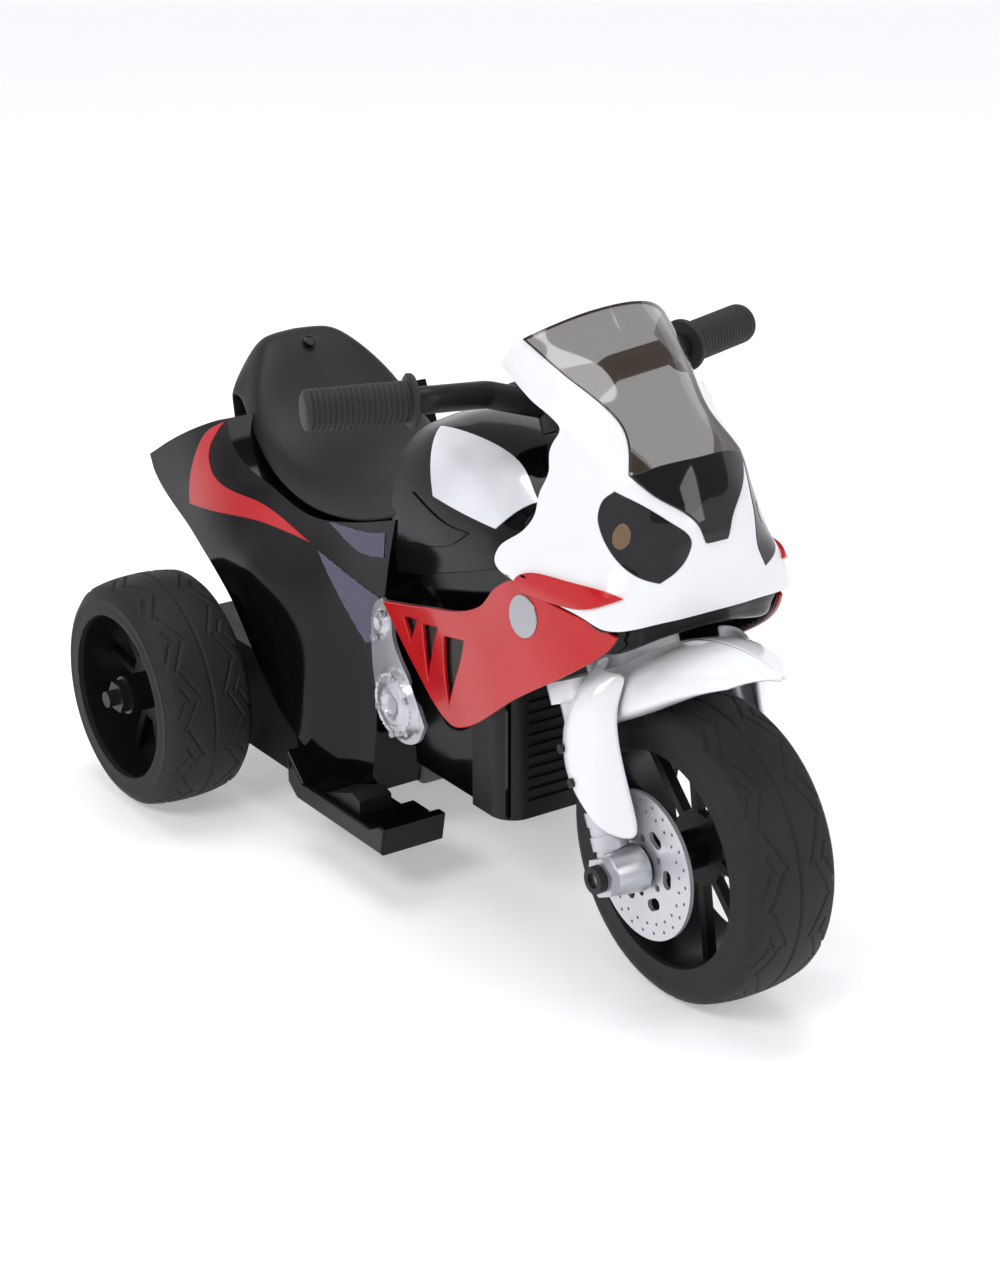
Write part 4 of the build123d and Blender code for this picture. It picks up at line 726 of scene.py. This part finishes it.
# ---- Grips: ribbed sleeves with an inner flange and a rounded end ----
RIB_COUNT, RIB_PITCH, SLEEVE_R, RIB_R = 17, 3.6, 13.0, 13.7
ribs = []
for k in range(RIB_COUNT):
    start = 7 + RIB_PITCH * k
    ribs += [(start, SLEEVE_R), (start + 0.7, RIB_R), (start + 2.2, RIB_R), (start + 2.9, SLEEVE_R)]
GRIP = [(0, 9.1), (0, 17.0), (1.2, 18.0), (3.4, 18.0), (4.6, 16.6), (5.2, 13.2)] + ribs \
    + [(69, 13.6), (71, 13.0), (72.2, 11.2), (72.6, 8), (72.6, 0)]
for hand, sign in (("right", -1), ("left", 1)):
    sleeve = turned("grip_" + hand, GRIP, (53.0, sign * 106.4, 373.8), "grip", "steering",
                    tilt=(-0.301, sign * 0.9536, 0))
    if hand == "right":
        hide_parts("grips")

# ---- Headlight reflectors seen through the dark lenses ----
for name, spot, width, height in (("reflector_right", (203, -54, 317), 0.17, 0.3),
                                  ("reflector_left", (214, 50, 316), 0.14, 0.3)):
    centre = FRONT.find(spot)
    loop = [centre + (width * math.cos(a), height * math.sin(a))
            for a in np.linspace(0, 2 * math.pi, 13)[:-1]]
    skin(name, FRONT, smooth_loop(loop, NET_STEP), "amber", "frame", step=NET_STEP, lift=0.65, thick=0.8,
         bevel=0.3)

# ---- Small fixings: the seat's screw recess, darkened with painted shade, and the fork covers' screws ----
RECESS = [(0.8, 0), (0.8, 3.4), (1.6, 3.8), (1.2, 4.6), (-1.5, 4.6)]
# The seat's screw recess is a shallow cup in near-black slot material; its black is painted shade standing in
# for the hollow of the screw hole.
turned("seat_screw_recess_painted_shade", RECESS, (-253.5, 0, 320.5), "slot", "frame", turns=32, tilt=(0.62, 0, 0.78))
SCREW_HEAD = [(-1, 0), (-1, 3.2), (1.0, 3.2), (1.6, 2.4), (1.0, 1.2), (1.0, 0)]
for hand, sign in (("right", -1), ("left", 1)):
    for k, (x, y, z) in enumerate([(171, 75, 169), (184, 76.2, 150)]):
        turned(f"cover_screw_{hand}_{k}", SCREW_HEAD, (x, sign * y, z), "slot", "steering", turns=24,
               flip=sign)

# ---- Stage: camera, lights and a pale floor ----
def add_camera():
    """The camera stands ahead of the bike and to its right, looking a little down."""
    spot = Vector(mm(1569.6, -1083.3, 947.3))
    azimuth, elevation = math.radians(55.49), math.radians(22.24)
    back = Vector((math.sin(azimuth) * math.cos(elevation), -math.cos(azimuth) * math.cos(elevation),
                   math.sin(elevation)))
    data = bpy.data.cameras.new("camera")
    data.lens, data.sensor_width = 83.8, 36
    data.clip_end = 20
    camera = bpy.data.objects.new("camera", data)
    bpy.context.scene.collection.objects.link(camera)
    camera.rotation_mode = "QUATERNION"
    camera.rotation_quaternion = back.to_track_quat("Z", "Y")
    camera.location = spot
    bpy.context.scene.camera = camera


def add_light(name, spot, target, size, power, colour=(1, 1, 1)):
    """One soft rectangular light aimed at a point."""
    data = bpy.data.lights.new(name, "AREA")
    data.shape, data.size, data.size_y = "RECTANGLE", size[0], size[1]
    data.energy, data.color = power, colour
    lamp = bpy.data.objects.new(name, data)
    lamp.location = spot
    lamp.rotation_euler = (Vector(target) - Vector(spot)).to_track_quat("-Z", "Y").to_euler()
    bpy.context.scene.collection.objects.link(lamp)


def add_stage():
    """A pale floor that curves up into a wall all round, a soft world and three area lights."""
    flat_r, cove_r, wall_top = 3.6, 1.4, 2.6
    form = bmesh.new()
    profile = [(0.0, 0.0), (1.0, 0.0), (flat_r, 0.0)]
    for step in range(1, 17):
        bend = step / 16 * math.pi / 2
        profile.append((flat_r + cove_r * math.sin(bend), cove_r - cove_r * math.cos(bend)))
    profile.append((flat_r + cove_r, wall_top))
    rings = []
    for k in range(96):
        turn = 2 * math.pi * k / 96
        rings.append([form.verts.new((r * math.cos(turn), r * math.sin(turn), z)) for r, z in profile])
    for first, second in zip(rings, rings[1:] + rings[:1]):
        for j in range(len(profile) - 1):
            form.faces.new((first[j], first[j + 1], second[j + 1], second[j])).smooth = True
    bmesh.ops.remove_doubles(form, verts=form.verts, dist=1e-5)
    bmesh.ops.recalc_face_normals(form, faces=form.faces)
    mesh = bpy.data.meshes.new("floor")
    form.to_mesh(mesh)
    form.free()
    floor = bpy.data.objects.new("floor", mesh)
    bpy.context.scene.collection.objects.link(floor)
    pale = material("floor_pale", (0.87, 0.87, 0.9), 0.5, mottling=0.008)
    shader = pale.node_tree.nodes["Principled BSDF"]
    shader.inputs["Emission Color"].default_value = (1, 1, 1, 1)
    shader.inputs["Emission Strength"].default_value = 0.32
    mesh.materials.append(pale)
    world = bpy.data.worlds.new("studio")
    world.use_nodes = True
    glow = world.node_tree.nodes["Background"]
    glow.inputs["Color"].default_value = (1, 1, 1, 1)
    glow.inputs["Strength"].default_value = 0.3
    bpy.context.scene.world = world
    bpy.context.scene.view_settings.view_transform = "Standard"
    add_light("key", (0.9, -2.2, 2.4), (0, 0, 0.2), (1.5, 0.9), 38)
    add_light("fill", (2.6, 1.2, 1.8), (0, 0, 0.2), (1.0, 1.6), 16)
    add_light("top", (-0.4, 0.2, 2.8), (0, 0, 0.2), (2.2, 1.4), 38)


add_camera()
add_stage()
